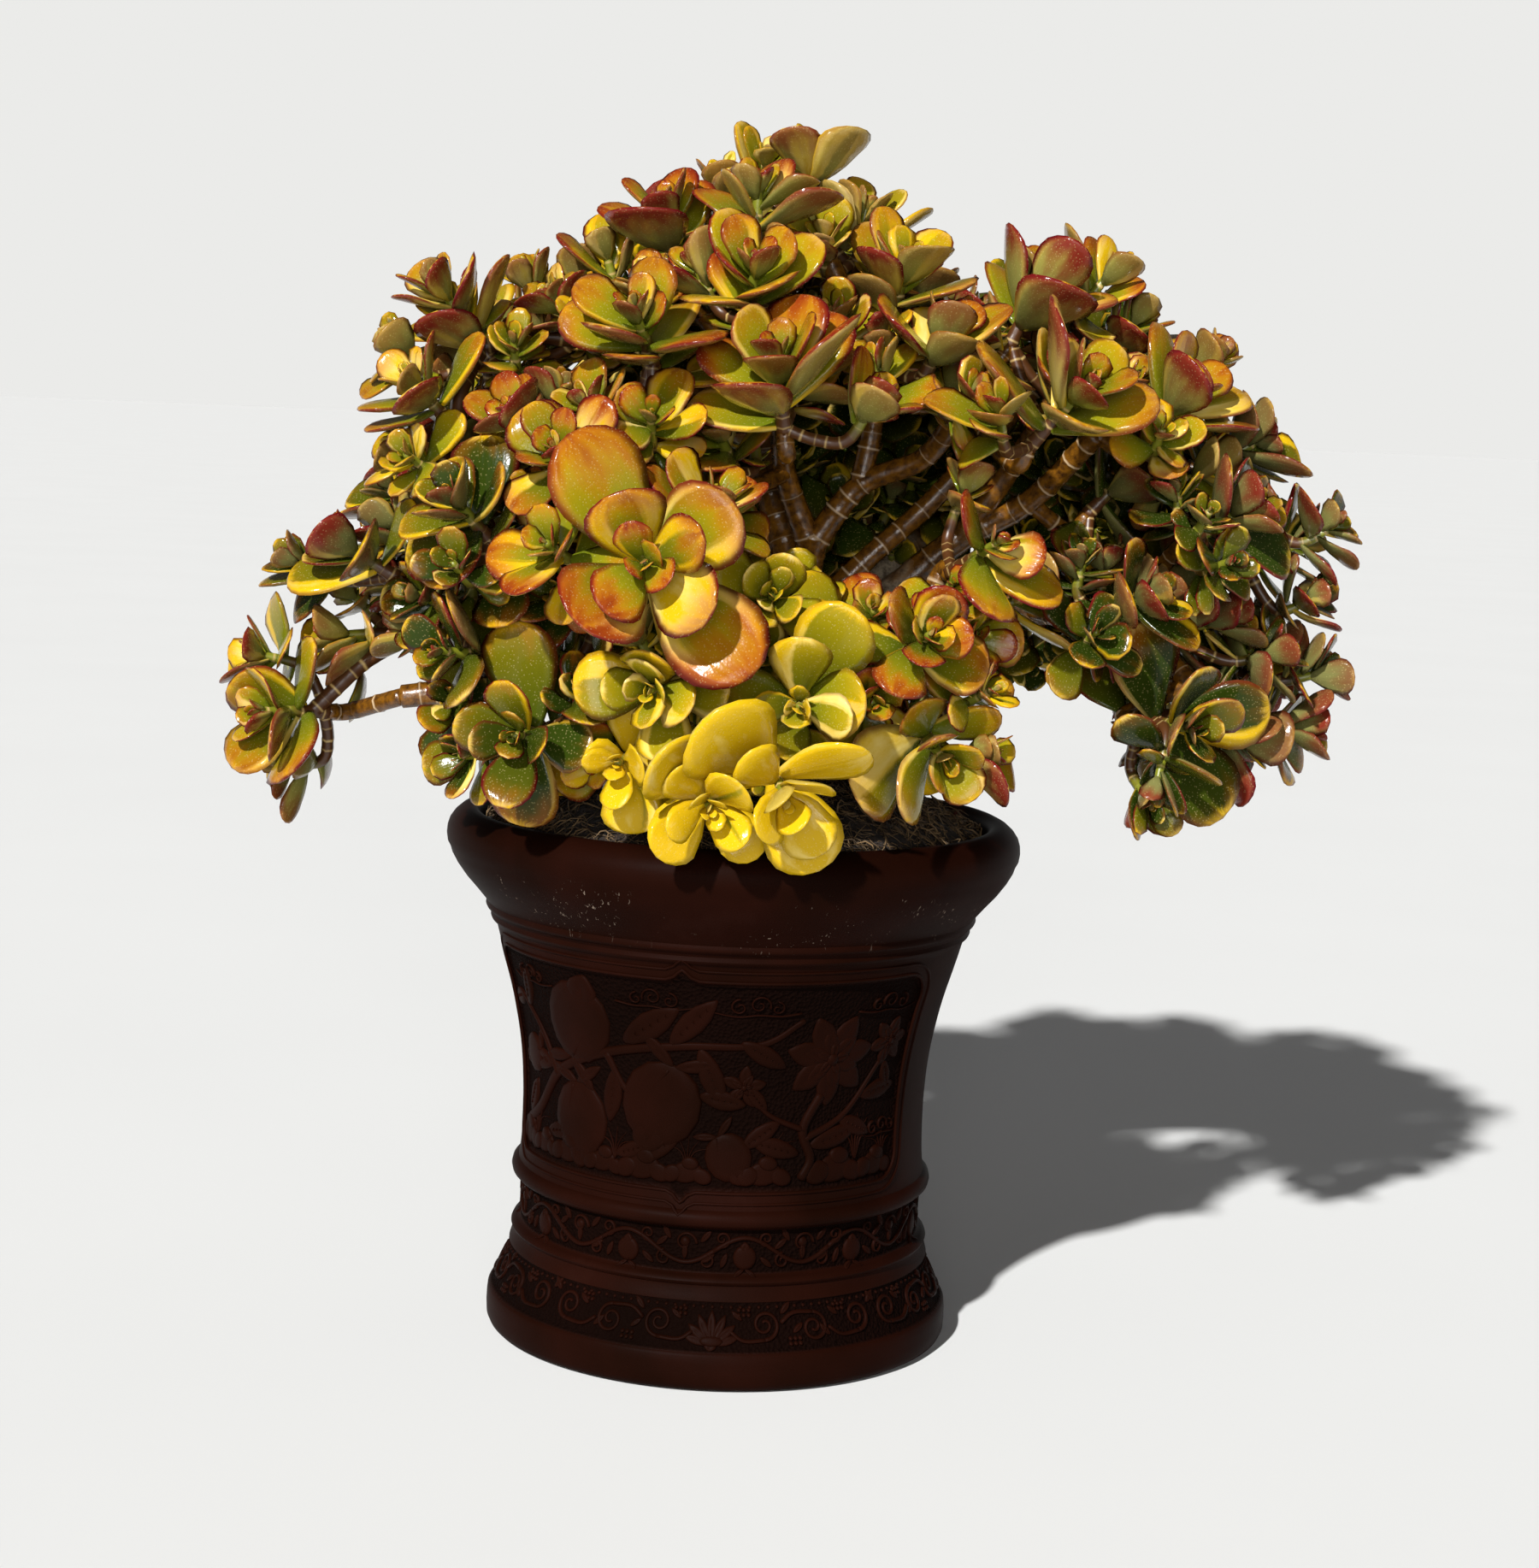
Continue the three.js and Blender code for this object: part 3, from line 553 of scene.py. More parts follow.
def makePot():
    p = potShape
    outside = finerRows(potOutside, p["wallLow"] - 3, p["wallHigh"] + 1, p["rowStep"])
    pot = spinProfile([*outside, *potInside], p["columns"])
    pot.name = pot.data.name = "clay_pot"
    co = pointsOf(pot)
    r = np.hypot(co[:, 0], co[:, 1])
    reach = np.where(r > 1, (r - panelGround(co) * p["panelDepth"]) / np.maximum(r, 1), 1)
    co[:, :2] *= reach[:, None]
    pot.data.vertices.foreach_set("co", (co * mm).ravel())
    deselectAll()
    drills = []
    for k in range(p["drains"]):
        a = math.radians(p["drainTurn"] + 360 / p["drains"] * k)
        bpy.ops.mesh.primitive_cylinder_add(
            vertices=32, radius=p["drainRadius"] * mm, depth=3 * p["floor"] * mm,
            location=(p["drainCircle"] * math.cos(a) * mm, p["drainCircle"] * math.sin(a) * mm, 0))
        drills.append(bpy.context.object)
    for drill in drills:
        drill.select_set(True)
    bpy.ops.object.join()
    drill = bpy.context.object
    deselectAll()
    pot.select_set(True)
    bpy.context.view_layer.objects.active = pot
    cut = pot.modifiers.new("drain", "BOOLEAN")
    cut.operation, cut.object, cut.solver = "DIFFERENCE", drill, "EXACT"
    bpy.ops.object.modifier_apply(modifier=cut.name)
    bpy.data.objects.remove(drill)
    bpy.ops.object.shade_smooth_by_angle(angle=math.radians(p["smoothUnder"]))
    co = pointsOf(pot)
    r, z = np.hypot(co[:, 0], co[:, 1]), co[:, 2]
    bands = np.any([(z > low) & (z < high) for low, high in p["bands"]], axis=0) & (r > p["bandInside"])
    # clayGround marks the sunk ground of panels and bands: matt and stippled there, and painted dark as shade
    layer = pot.data.attributes.new("clayGround", "FLOAT_VECTOR", "POINT")
    layer.data.foreach_set("vector", np.repeat(np.maximum(panelGround(co), bands), 3).astype(np.float32))
    pot.data.materials.clear()
    pot.data.materials.append(unglazedClay)
    keepPiece(pot, "pot_clay", "pot")


# Relief pressed into the clay. It is laid out flat, as u along the wall, v up it and h off it, and wrapped on

reliefShape = {
    "seat": 0.05, "panelRise": 1.5, "bandRise": 1.2, "edgeRidge": 0.75, "outerRidge": 0.65,
    "ridgeGap": 4.6, "sunk": 0.6, "radius": 86, "vineTurns": 11, "beads": 150,
}


def modelDome(segments, rings):
    # Half a ball, cut flat a little under its middle and closed there
    deselectAll()
    bpy.ops.mesh.primitive_uv_sphere_add(segments=segments, ring_count=rings, radius=1)
    bpy.ops.object.mode_set(mode="EDIT")
    bpy.ops.mesh.select_all(action="SELECT")
    bpy.ops.mesh.bisect(plane_co=(0, 0, -reliefShape["seat"]), plane_no=(0, 0, 1), clear_inner=True,
                        use_fill=True)
    bpy.ops.mesh.select_all(action="SELECT")
    bpy.ops.mesh.normals_make_consistent(inside=False)
    bpy.ops.object.mode_set(mode="OBJECT")
    made = bpy.context.object
    co = np.array([v.co for v in made.data.vertices])
    faces = [tuple(f.vertices) for f in made.data.polygons]
    bpy.data.objects.remove(made)
    return co, faces


domeForm, dotForm = modelDome(14, 8), modelDome(8, 4)


def turnedAbout(u, v, x, y, h, turn):
    # Points x, y about u, v, turned by so many degrees
    c, s = math.cos(math.radians(turn)), math.sin(math.radians(turn))
    return np.stack([u + x * c - y * s, v + x * s + y * c, h], 1)


def boss(u, v, wide, high, rise, turn=0.0, form=domeForm):
    # A rounded lump with steep sides, sunk a little into the ground
    co, faces = form
    h = np.where(co[:, 2] < 0, -reliefShape["sunk"], rise * np.clip(co[:, 2], 0, 1) ** 0.45)
    return {"co": turnedAbout(u, v, co[:, 0] * wide, co[:, 1] * high, h, turn), "faces": faces}


def petal(u, v, length, width, rise, turn):
    # From its foot at u, v out to a point, with a crease down its middle
    co, faces = domeForm
    along = 0.5 + 0.5 * co[:, 0]
    x = along * length
    y = co[:, 1] * width / 2 * (1 - 0.75 * np.clip(along, 0, 1) ** 3) * (0.55 + 0.6 * along)
    crease = 1 - 0.4 * np.exp(-(co[:, 1] / 0.16) ** 2)
    h = np.where(co[:, 2] < 0, -reliefShape["sunk"], rise * np.clip(co[:, 2], 0, 1) ** 0.55 * crease)
    return {"co": turnedAbout(u, v, x, y, h, turn), "faces": faces}


def cord(points, thick, rise, taper=1.0, step=1.7):
    # A half-round line through points
    rows = np.array([(u, v, 0) for u, v in points], float)
    path = curveThrough(rows, step)
    radii = np.linspace(thick, thick * taper, len(path))
    tube = sweep(path, radii, 6)
    tube["co"][:, 2] *= rise / thick
    return tube


def curl(u, v, start, end, size, turns, thick, rise):
    # A spiral that starts at the outside, at start degrees, and winds in
    way = 1 if end > 0 else -1
    count = max(8, round(16 * turns))
    points = []
    for k in range(count + 1):
        t = k / count
        a = math.radians(start) + way * t * turns * 2 * math.pi
        r = size * (1 - 0.82 * t)
        points.append((u + r * math.cos(a), v + r * math.sin(a)))
    return cord(points, thick, rise, 0.7, 1.0)


def peach(u, v, size, rise, turn=90):
    # A ball drawn out to a tip, with a seam along it and two small leaves at its foot
    c, s = size * math.cos(math.radians(turn)), size * math.sin(math.radians(turn))
    out = [boss(u, v, size, size * 0.94, rise, turn),
           petal(u + 0.3 * c, v + 0.3 * s, size * 0.95, size * 1.1, rise * 0.98, turn)]
    seam = [(u - 0.85 * c + 0.1 * s, v - 0.85 * s), (u + 0.3 * s, v - 0.3 * c), (u + 1.12 * c, v + 1.12 * s)]
    out.append(cord(seam, 0.045 * size + 0.12, rise * 1.16, 0.6))
    for side in (-1, 1):
        out.append(petal(u - 0.9 * c, v - 0.9 * s, size, size * 0.42, rise * 0.85, turn + 180 + side * 62))
    return out


def longLeaf(u, v, length, width, rise, turn):
    out = [petal(u, v, length, width, rise, turn)]
    a = math.radians(turn)
    for k in range(1, 6):  # its veins
        for side in (-1, 1):
            at, b = length * (0.12 + 0.13 * k), a + side * 0.75
            reach = width * (0.36 - 0.035 * k)
            root = (u + at * math.cos(a), v + at * math.sin(a))
            tip = (root[0] + reach * math.cos(b), root[1] + reach * math.sin(b))
            out.append(cord([root, tip], 0.22, rise * 1.12, 0.5))
    return out


def blossom(u, v, size, rise, petals=7):
    out = []
    for ring, (share, count) in enumerate(((1.0, petals), (0.68, petals - 1), (0.4, 5))):
        for k in range(count):
            turn = 360 * (k + 0.5 * ring) / count + 12
            out.append(petal(u, v, size * share, size * share * 0.72, rise * (0.7 + 0.2 * ring), turn))
    out.append(boss(u, v, size * 0.16, size * 0.16, rise * 1.3, form=dotForm))
    return out


def cloud(u, v, size, rise, way=1):
    # Three curls over a trailing line
    along = way * size
    line = [(u - along * 1.9, v - size * 0.42), (u - along, v - size * 0.55), (u, v - size * 0.5),
            (u + along, v - size * 0.6), (u + along * 2.3, v - size * 0.35)]
    return [curl(u, v, 200 if way > 0 else -20, -way, size * 0.5, 1.3, 0.45, rise),
            curl(u + along * 0.85, v - size * 0.12, 90, -way, size * 0.42, 1.2, 0.45, rise),
            curl(u - along * 0.8, v - size * 0.16, 90, way, size * 0.34, 1.1, 0.4, rise),
            cord(line, 0.5, rise, 0.5)]


def rocks(u, v, size, rise):
    lumps = [(0, 0, 0.75, 0.5, 10), (0.7, -0.15, 0.5, 0.36, -20), (-0.7, -0.1, 0.5, 0.4, 25),
             (0.15, 0.42, 0.42, 0.3, -8)]
    return [boss(u + size * dx, v + size * dy, size * w, size * h, rise * (0.75 + 0.12 * k), turn)
            for k, (dx, dy, w, h, turn) in enumerate(lumps)]


def tuft(u, v, size, rise):
    # Five blades of grass
    return [cord([(u, v), (u + size * lean * 0.3, v + size * 0.55), (u + size * lean, v + size * tall)],
                 0.5, rise, 0.25)
            for lean, tall in ((-0.8, 0.75), (-0.35, 1.0), (0.05, 1.1), (0.4, 0.95), (0.85, 0.7))]


# The panel's motifs, laid out in millimetres from the middle of the panel. Branches: points, thickness, taper
panelBranches = [
    ([(-97, 90), (-80, 100), (-62, 119), (-32, 132), (0, 138), (30, 140), (46, 150)], 3.2, 0.4),
    ([(-64, 117), (-74, 134), (-88, 146)], 2.2, 0.5), ([(-34, 131), (-26, 118), (-12, 108)], 2.0, 0.6),
    ([(57, 118), (50, 104), (54, 92), (50, 84)], 2.2, 1.0), ([(51, 100), (70, 110), (86, 130)], 1.6, 0.6),
    ([(50, 104), (36, 110), (27, 118)], 1.5, 0.6),
]
# u, v, size and turn
panelPeaches = [(-48, 142, 18, 70), (-10, 113, 18.5, 250), (-50, 101, 16.5, 275), (19, 93, 10.5, 300),
                (-84, 122, 9, 200)]
# u, v, length, width and turn
panelLeaves = [
    (-26, 137, 30, 15, 35), (-66, 121, 25, 13, 180), (-30, 126, 24, 12, 262), (6, 138, 27, 13, 292),
    (-6, 138, 28, 13, 48), (-86, 146, 15, 10, 195), (-82, 142, 18, 10, 75), (-2, 99, 24, 12, 205),
    (6, 118, 20, 11, 350), (-92, 95, 19, 11, 60), (22, 141, 22, 11, 330), (53, 97, 24, 12, 15),
    (49, 94, 22, 11, 165), (66, 108, 20, 10, 335), (76, 116, 22, 11, 8), (40, 108, 20, 10, 215),
    (-30, 90, 18, 9, 20), (-72, 92, 20, 10, 10), (88, 130, 14, 8, 290), (34, 112, 14, 8, 130),
]
# u, v, size and way round
panelClouds = [(-12, 158, 8, 1), (28, 157, 8.5, -1), (84, 156, 8, 1), (-74, 158, 7.5, -1), (92, 102, 7, -1)]
# u and size, then u, v and size
panelRocks = [(-92, 11), (-74, 9), (-56, 10), (-36, 9), (-17, 10.5), (2, 9), (34, 10), (66, 12), (88, 10)]
panelTufts = [(76, 90, 17), (92, 88, 13), (-82, 88, 13), (36, 90, 14), (2, 88, 12), (-30, 88, 12)]


def panelMotifs():
    # A branch of peaches, a tree peony over rocks, and clouds
    up = reliefShape["panelRise"]
    out = [cord(points, thick, up, taper) for points, thick, taper in panelBranches]
    for u, v, size, turn in panelPeaches:
        out += peach(u, v, size, up, turn)
    for u, v, length, width, turn in panelLeaves:
        out += longLeaf(u, v, length, width, up * 0.85, turn)
    out += blossom(60, 133, 20, up) + blossom(89, 138, 11, up, 6) + blossom(24, 122, 9.5, up, 5)
    for u, v, size, way in panelClouds:
        out += cloud(u, v, size, up * 0.8, way)
    for u, size in panelRocks:
        out += rocks(u, 83.5 + 0.3 * size, size, up)
    for u, v, size in panelTufts:
        out += tuft(u, v, size, up * 0.7)
    return out


# On one wave of the vine: share of it, v, start, way round, size, turns and thickness, and share, v and turn
vineCurls = [(0.06, 59.8, -90, 1, 3.4, 1.3, 0.62), (0.43, 60, -90, -1, 3.1, 1.3, 0.62),
             (0.75, 57.6, 0, 1, 4.8, 1.05, 0.7), (0.57, 50.8, 90, 1, 3.3, 1.3, 0.62),
             (0.93, 50.4, 90, -1, 3.2, 1.3, 0.62)]
vineLeaves = [(0.1, 54, 250), (0.38, 52.4, 320), (0.63, 58.6, 120), (0.88, 58, 50), (0.5, 55.5, 40),
              (0.0, 53.6, 215), (0.75, 50.8, 90)]


def middleBandMotifs():
    # A running vine with a peach and a rosette by turns, so many times round the pot
    q = reliefShape
    up, wave = q["bandRise"], 2 * math.pi * q["radius"] / q["vineTurns"]
    out = []
    for k in range(q["vineTurns"]):
        u = k * wave
        line = [(u + wave * t / 8, 55 + 5.4 * math.sin(2 * math.pi * t / 8)) for t in range(9)]
        out.append(cord(line, 1.0, up))
        out += peach(u + 0.25 * wave, 52.2, 5.2, up, 90)
        out.append(boss(u + 0.75 * wave, 58, 2.2, 2.2, up, form=dotForm))
        for share, v, start, way, size, turns, thick in vineCurls:
            out.append(curl(u + share * wave, v, start, way, size, turns, thick, up))
        for share, v, turn in vineLeaves:
            out.append(petal(u + share * wave, v, 6.8, 3.4, up * 0.85, turn))
    return out


def baseBandMotifs():
    # Four lotus flowers with a wave scroll of spirals and berries between them
    q = reliefShape
    up, quarter, mid = q["bandRise"], math.pi * q["radius"] / 2, 25.8
    out = []
    for k in range(4):
        u = k * quarter
        for lean, size in ((90, 12.5), (64, 12), (116, 12), (38, 11.4), (142, 11.4), (14, 10.6), (166, 10.6)):
            out.append(petal(u, 19.6, size, 4.8, up * (1.15 - 0.004 * abs(lean - 90)), lean))
        out += [petal(u, 21, 4.2, 6.4, up * 0.8, 262), boss(u, 20.8, 4.6, 2, up * 1.3)]
        for side in (-1, 1):
            for j in range(3):
                c = u + side * (20 + 19.5 * j)
                flip = 1 if j % 2 == 0 else -1
                middle = mid + flip * 0.9
                out.append(curl(c, middle, -90 * flip, side * flip, 5.6, 1.6, 0.8, up))
                out.append(cord([(c - side * 13, mid - flip * 1.5), (c - side * 8, middle - flip * 5.8),
                                 (c, middle - flip * 5.6)], 0.8, up, 1.0))
                out.append(petal(c + side * 6.5, mid + flip * 4.6, 6, 3.2, up * 0.85, 90 - side * 40 * flip))
                out.append(petal(c - side * 8.5, mid + flip * 2.5, 5.4, 2.8, up * 0.85, 90 + flip * 50))
                for berry in range(6):
                    x, y = 9.8 - 1.9 * (berry % 3), 6.4 - 1.9 * (berry // 3)
                    out.append(boss(c - side * x, mid + flip * y, 0.85, 0.85, up * 0.8, form=dotForm))
    for k in range(q["beads"]):  # a row of small beads along the upper edge
        out.append(boss(k * 2 * math.pi * q["radius"] / q["beads"], 33.2, 0.7, 0.7, 0.6, form=dotForm))
    return out


def panelOutline(grow):
    # Down the middle of the panel's edge, or grow mm outside it, with the cusps in its long sides
    p = potShape
    halfX = math.radians(p["panelHalf"]) * p["waist"] + grow
    middle, halfZ = (p["panelLow"] + p["panelHigh"]) / 2, (p["panelHigh"] - p["panelLow"]) / 2 + grow
    corner = p["cornerRadius"] + grow
    points = []
    for side in (1, -1):
        for x in np.linspace(-halfX + corner, halfX - corner, 61)[1:-1]:
            cusp = p["cuspRise"] * max(0, 1 - abs(x) / p["cuspReach"]) ** 2
            points.append((side * x, middle + side * (halfZ + cusp)))
        for way, turns in ((1, np.linspace(90, 0, 8)), (-1, np.linspace(0, -90, 8))):
            for a in np.radians(turns):
                across = halfX - corner + corner * math.cos(a)
                up = halfZ - corner + way * corner * math.sin(a)
                points.append((side * across, middle + way * side * up))
    return [*points, points[0], points[1]]


def wrapOn(part, centre, depth, mirrored=False):
    # Onto the pot's wall, with u = 0 at centre degrees round from the front
    u, v, h = part["co"].T
    turn = math.radians(centre) + (-u if mirrored else u) / reliefShape["radius"]
    r = wallRadius(v) - depth + h
    faces = [f[::-1] for f in part["faces"]] if mirrored else part["faces"]
    co = np.stack([r * np.sin(turn), -r * np.cos(turn), v], 1)
    return {"co": co, "faces": faces, "clayGround": np.zeros(3)}


def makeRelief():
    p, q = potShape, reliefShape
    motifs = panelMotifs()
    panels = []
    for centre, mirrored in ((p["panelTurn"], False), (p["panelTurn"] + 180, True)):
        panels += [wrapOn(m, centre, p["panelDepth"], mirrored) for m in motifs]
        panels += [wrapOn(cord(panelOutline(grow), ridge, ridge, 1.0, 2.5), centre, 0)
                   for grow, ridge in ((0.3, q["edgeRidge"]), (q["ridgeGap"], q["outerRidge"]))]
    bands = [wrapOn(m, 0, 0) for m in middleBandMotifs() + baseBandMotifs()]
    for name, parts in (("panel_relief", panels), ("band_relief", bands)):
        relief = castMesh(name, parts, [unglazedClay], ["clayGround"])
        deselectAll()
        relief.select_set(True)
        bpy.context.view_layer.objects.active = relief
        bpy.ops.object.mode_set(mode="EDIT")
        bpy.ops.mesh.select_all(action="SELECT")
        bpy.ops.mesh.normals_make_consistent(inside=False)
        bpy.ops.object.mode_set(mode="OBJECT")
        keepPiece(relief, "pot_clay")


makePot()
makeRelief()
print("pot made")


# Soil and its dressing of dry fibres

soilShape = {
    "edge": 213.5, "edgeRadius": 104.6, "mound": 22, "columns": 120, "rings": 26, "lump": 2.2, "lumpSize": 16,
    "fibres": 3400, "fibreRadius": 0.34, "fibreLength": (8, 19), "fibreReach": (103.5, 104),
    "fibreTaper": (0.6, 1, 1, 0.9, 0.4), "fibreBend": 0.75, "fibreSwerve": 0.25, "fibreLift": 4.5,
    "fibreSeat": 0.4, "fibreWave": 0.8, "trunk": 27, "bottom": 13.4, "eye": 0.3, "wallGap": 0.4,
    "lumpsAbove": 208,
}


def soilTop(r):
    mouth = potShape["mouth"]
    return soilShape["edge"] + soilShape["mound"] * (1 - (np.minimum(r, mouth) / mouth) ** 3)


def makeSoil():
    s = soilShape
    edge = s["edgeRadius"]
    radii = [edge * (1 - k / s["rings"]) for k in range(s["rings"])]
    top = [(r, float(soilTop(r))) for r in radii]
    wall = [(r - s["wallGap"], z) for r, z in reversed(potInside[2:])]
    profile = [(s["eye"], s["bottom"]), (77, s["bottom"]), *wall[1:], (102.6, 207), (edge, 211), *top,
               (s["eye"], top[-1][1])]
    soil = spinProfile(profile, s["columns"])
    soil.name = soil.data.name = "potting_mix"
    bpy.ops.object.mode_set(mode="EDIT")
    for level in (10, 300):  # closes the small eyes at the axis
        pick(lambda c: math.hypot(c.x, c.y) < 0.5 * mm and abs(c.z - level * mm) < 0.15)
        bpy.ops.mesh.merge(type="CENTER")
        bpy.ops.mesh.select_all(action="DESELECT")
    bpy.ops.object.mode_set(mode="OBJECT")
    for v in soil.data.vertices:
        r = math.hypot(v.co.x, v.co.y) / mm
        if v.co.z > s["lumpsAbove"] * mm:
            lump = noise.fractal(v.co / (s["lumpSize"] * mm), 0.6, 2.0, 4)
            v.co.z += s["lump"] * mm * lump * min(1, (edge + 2 - r) / 8)
    bpy.ops.object.shade_smooth()
    soil.data.materials.clear()
    soil.data.materials.append(pottingMix)
    keepPiece(soil, "soil", "soil")


def makeFibres():
    s = soilShape
    seeded = np.random.default_rng(11)
    widest, limit = s["fibreReach"]
    strands = []
    for i in range(s["fibres"]):
        r = s["trunk"] + (widest - s["trunk"]) * seeded.random() ** 0.62
        a = seeded.random() * 2 * math.pi
        at = np.array([r * math.cos(a), r * math.sin(a)])
        heading, curl = seeded.random() * 2 * math.pi, seeded.normal() * s["fibreBend"]
        length = seeded.uniform(*s["fibreLength"])
        lift, phase = seeded.random() ** 2 * s["fibreLift"], seeded.random() * 6
        path = []
        for k in range(len(s["fibreTaper"])):
            reach = math.hypot(*at)
            if reach > limit:
                at *= limit / reach
            top = float(soilTop(math.hypot(*at)))
            wave = lift * (0.5 + 0.5 * math.sin(phase + k * 1.1))
            path.append((*at, top + s["fibreSeat"] + wave + s["fibreWave"] * math.sin(k * 0.9 + phase)))
            at = at + length / (len(s["fibreTaper"]) - 1) * np.array([math.cos(heading), math.sin(heading)])
            heading += curl + seeded.normal() * s["fibreSwerve"]
        thick = s["fibreRadius"] * seeded.uniform(0.6, 1.35)
        strand = sweep(path, [thick * share for share in s["fibreTaper"]], 3)
        strand["strandTint"] = np.full(3, seeded.random())
        strands.append(strand)
    fibres = castMesh("moss_fibres", strands, [dryMossFibre], ["strandTint"])
    keepPiece(fibres, "soil")


makeSoil()
makeFibres()
print("soil and fibres made")


# The plant's plan. A limb is a row of points x, y, z with the wood's radius there, and starts inside the limb
# that bears it

limbPlan = {
    "trunk": [[12, 4, 196, 33], [12, 4, 224, 29], [14, 3, 246, 20], [18, 0, 276, 15], [24, -5, 318, 8],
              [28, -10, 339, 6]],
    "frontUp": [[27, -9, 334, 5.6], [15, -17, 364, 4.6], [12, -44, 392, 4.4]],
    "midRight": [[27, -9, 334, 5.8], [46, -13, 360, 4.8], [72, -21, 373, 4.4], [86, -36, 396, 4.4]],
    "midUp": [[46, -13, 359, 4.6], [50, -13, 392, 4.4], [42, -10, 425, 4.4], [30, -5, 450, 4.4]],
    "rightUp": [[19, 0, 284, 11], [47, 2, 301, 9], [86, 0, 337, 6], [116, -8, 356, 4.8],
                [140, -32, 385, 4.5]],
    "rightHigh": [[22, -1, 298, 6], [50, -2, 329, 4.6], [78, 4, 356, 4.4], [118, 2, 405, 4.4]],
    "rightFork": [[88, -1, 338, 5], [106, -8, 366, 4.4], [122, -22, 396, 4.4]],
    "right": [[18, 0, 278, 10], [75, -2, 303, 8], [117, -10, 312, 7], [155, -10, 311, 6], [182, 2, 318, 5]],
    "rightLow": [[152, -10, 311, 5], [170, -26, 299, 4.5], [183, -36, 286, 4.2]],
    "left": [[14, 3, 240, 12], [-30, -18, 262, 9], [-70, -38, 274, 7], [-105, -50, 273, 5.5],
             [-135, -52, 269, 4.8]],
    "leftUp": [[19, 0, 283, 10], [-25, -12, 310, 8], [-65, -22, 340, 6.5], [-95, -24, 372, 5.5],
               [-108, -26, 395, 5]],
    "leftFront": [[19, 0, 280, 9], [-10, -45, 312, 7], [-28, -85, 326, 5.5], [-33, -105, 332, 4.8]],
    "low": [[14, 3, 246, 10], [13, -42, 256, 7], [10, -80, 262, 5.5], [6, -98, 266, 4.5]],
    "lowRight": [[13, -40, 256, 6], [42, -72, 264, 5], [58, -84, 268, 4.5]],
    "lowLeft": [[-28, -17, 262, 6.5], [-48, -56, 264, 5], [-62, -78, 264, 4.5]],
    "top": [[24, -4, 312, 7.5], [8, 10, 360, 6.5], [2, 15, 400, 5.6], [5, 18, 440, 5]],
    "back": [[18, 2, 276, 11], [5, 45, 312, 8.5], [-5, 90, 330, 6.5], [-5, 112, 335, 5.5]],
    "backRight": [[20, 0, 288, 10], [60, 45, 325, 8], [100, 76, 345, 6.5], [122, 88, 352, 5]],
    "backLeft": [[17, 2, 266, 10], [-40, 35, 300, 8], [-85, 62, 330, 6], [-105, 68, 345, 5]],
    "backLow": [[14, 4, 246, 10], [15, 55, 262, 8], [15, 100, 268, 6]],
    "backLowRight": [[15, 50, 262, 6.5], [70, 80, 270, 5.5], [112, 84, 277, 4.8]],
    "backLowLeft": [[13, 4, 244, 9], [-40, 42, 265, 7], [-88, 56, 276, 5.5], [-112, 46, 286, 4.8]],
}

# A spray's shoots: tip x, y, z and longest leaf, with the way it faces where that isn't straight outwards
sprayPlan = [
    [[-35, -150, 332, 46, -0.1, -1, -0.4]], [[10, -112, 410, 42], [0, -84, 446, 34]],
    [[-45, -96, 426, 33]], [[-120, -42, 425, 32], [-82, -38, 432, 24], [-134, -66, 396, 30]],
    [[-92, -84, 384, 28], [-72, -116, 372, 27]], [[-112, -102, 352, 32]], [[-160, -60, 330, 32]],
    [[-152, 5, 352, 28]], [[-72, 8, 441, 28]], [[-38, -30, 470, 33]],
    [[2, 20, 494, 32, 0.1, -0.8, 0.6], [44, 6, 474, 28]], [[0, -48, 478, 30]], [[60, -30, 452, 34]],
    [[76, -62, 426, 30]], [[116, -12, 447, 38]], [[160, 16, 434, 34]], [[130, -82, 404, 46]],
    [[178, -32, 406, 34]], [[214, 8, 386, 34], [236, 18, 344, 28]], [[203, -46, 360, 28]],
    [[160, 0, 372, 34]], [[97, -104, 343, 44]], [[165, -60, 324, 30]], [[200, -22, 312, 34]],
    [[182, -62, 270, 42, 0.4, -1, -0.2], [212, -18, 262, 34]], [[232, 24, 290, 30]],
    [[72, -122, 308, 32], [52, -108, 280, 28]], [[24, -134, 280, 36]], [[80, -112, 260, 38]],
    [[-32, -136, 284, 30], [-8, -143, 242, 34, 0.05, -1, -0.3]], [[-84, -112, 262, 34, -0.4, -1, 0.1]],
    [[-116, -94, 292, 32], [-130, -72, 312, 26]],
    [[-190, -62, 262, 38, -0.8, -0.7, 0.1], [-166, -42, 292, 32]], [[12, -116, 320, 30]],
    [[-12, -74, 382, 30]], [[-70, -92, 316, 32]], [[-52, -96, 252, 28]], [[-150, 40, 300, 32]],
    [[-112, 95, 290, 32]], [[-52, 138, 284, 32]], [[15, 150, 278, 34]], [[80, 140, 284, 32]],
    [[145, 110, 290, 34]], [[200, 70, 310, 34]], [[-148, 66, 362, 34]], [[-118, 112, 352, 34]],
    [[-60, 146, 350, 34]], [[5, 162, 345, 36]], [[70, 156, 350, 34]], [[132, 126, 352, 34]],
    [[188, 76, 366, 34]], [[-108, 60, 424, 32]], [[-52, 106, 415, 34]], [[10, 122, 420, 34]],
    [[76, 112, 416, 34]], [[130, 64, 418, 34]],
    [[24, 74, 466, 32], [-28, 58, 470, 30], [68, 44, 448, 32]],
]
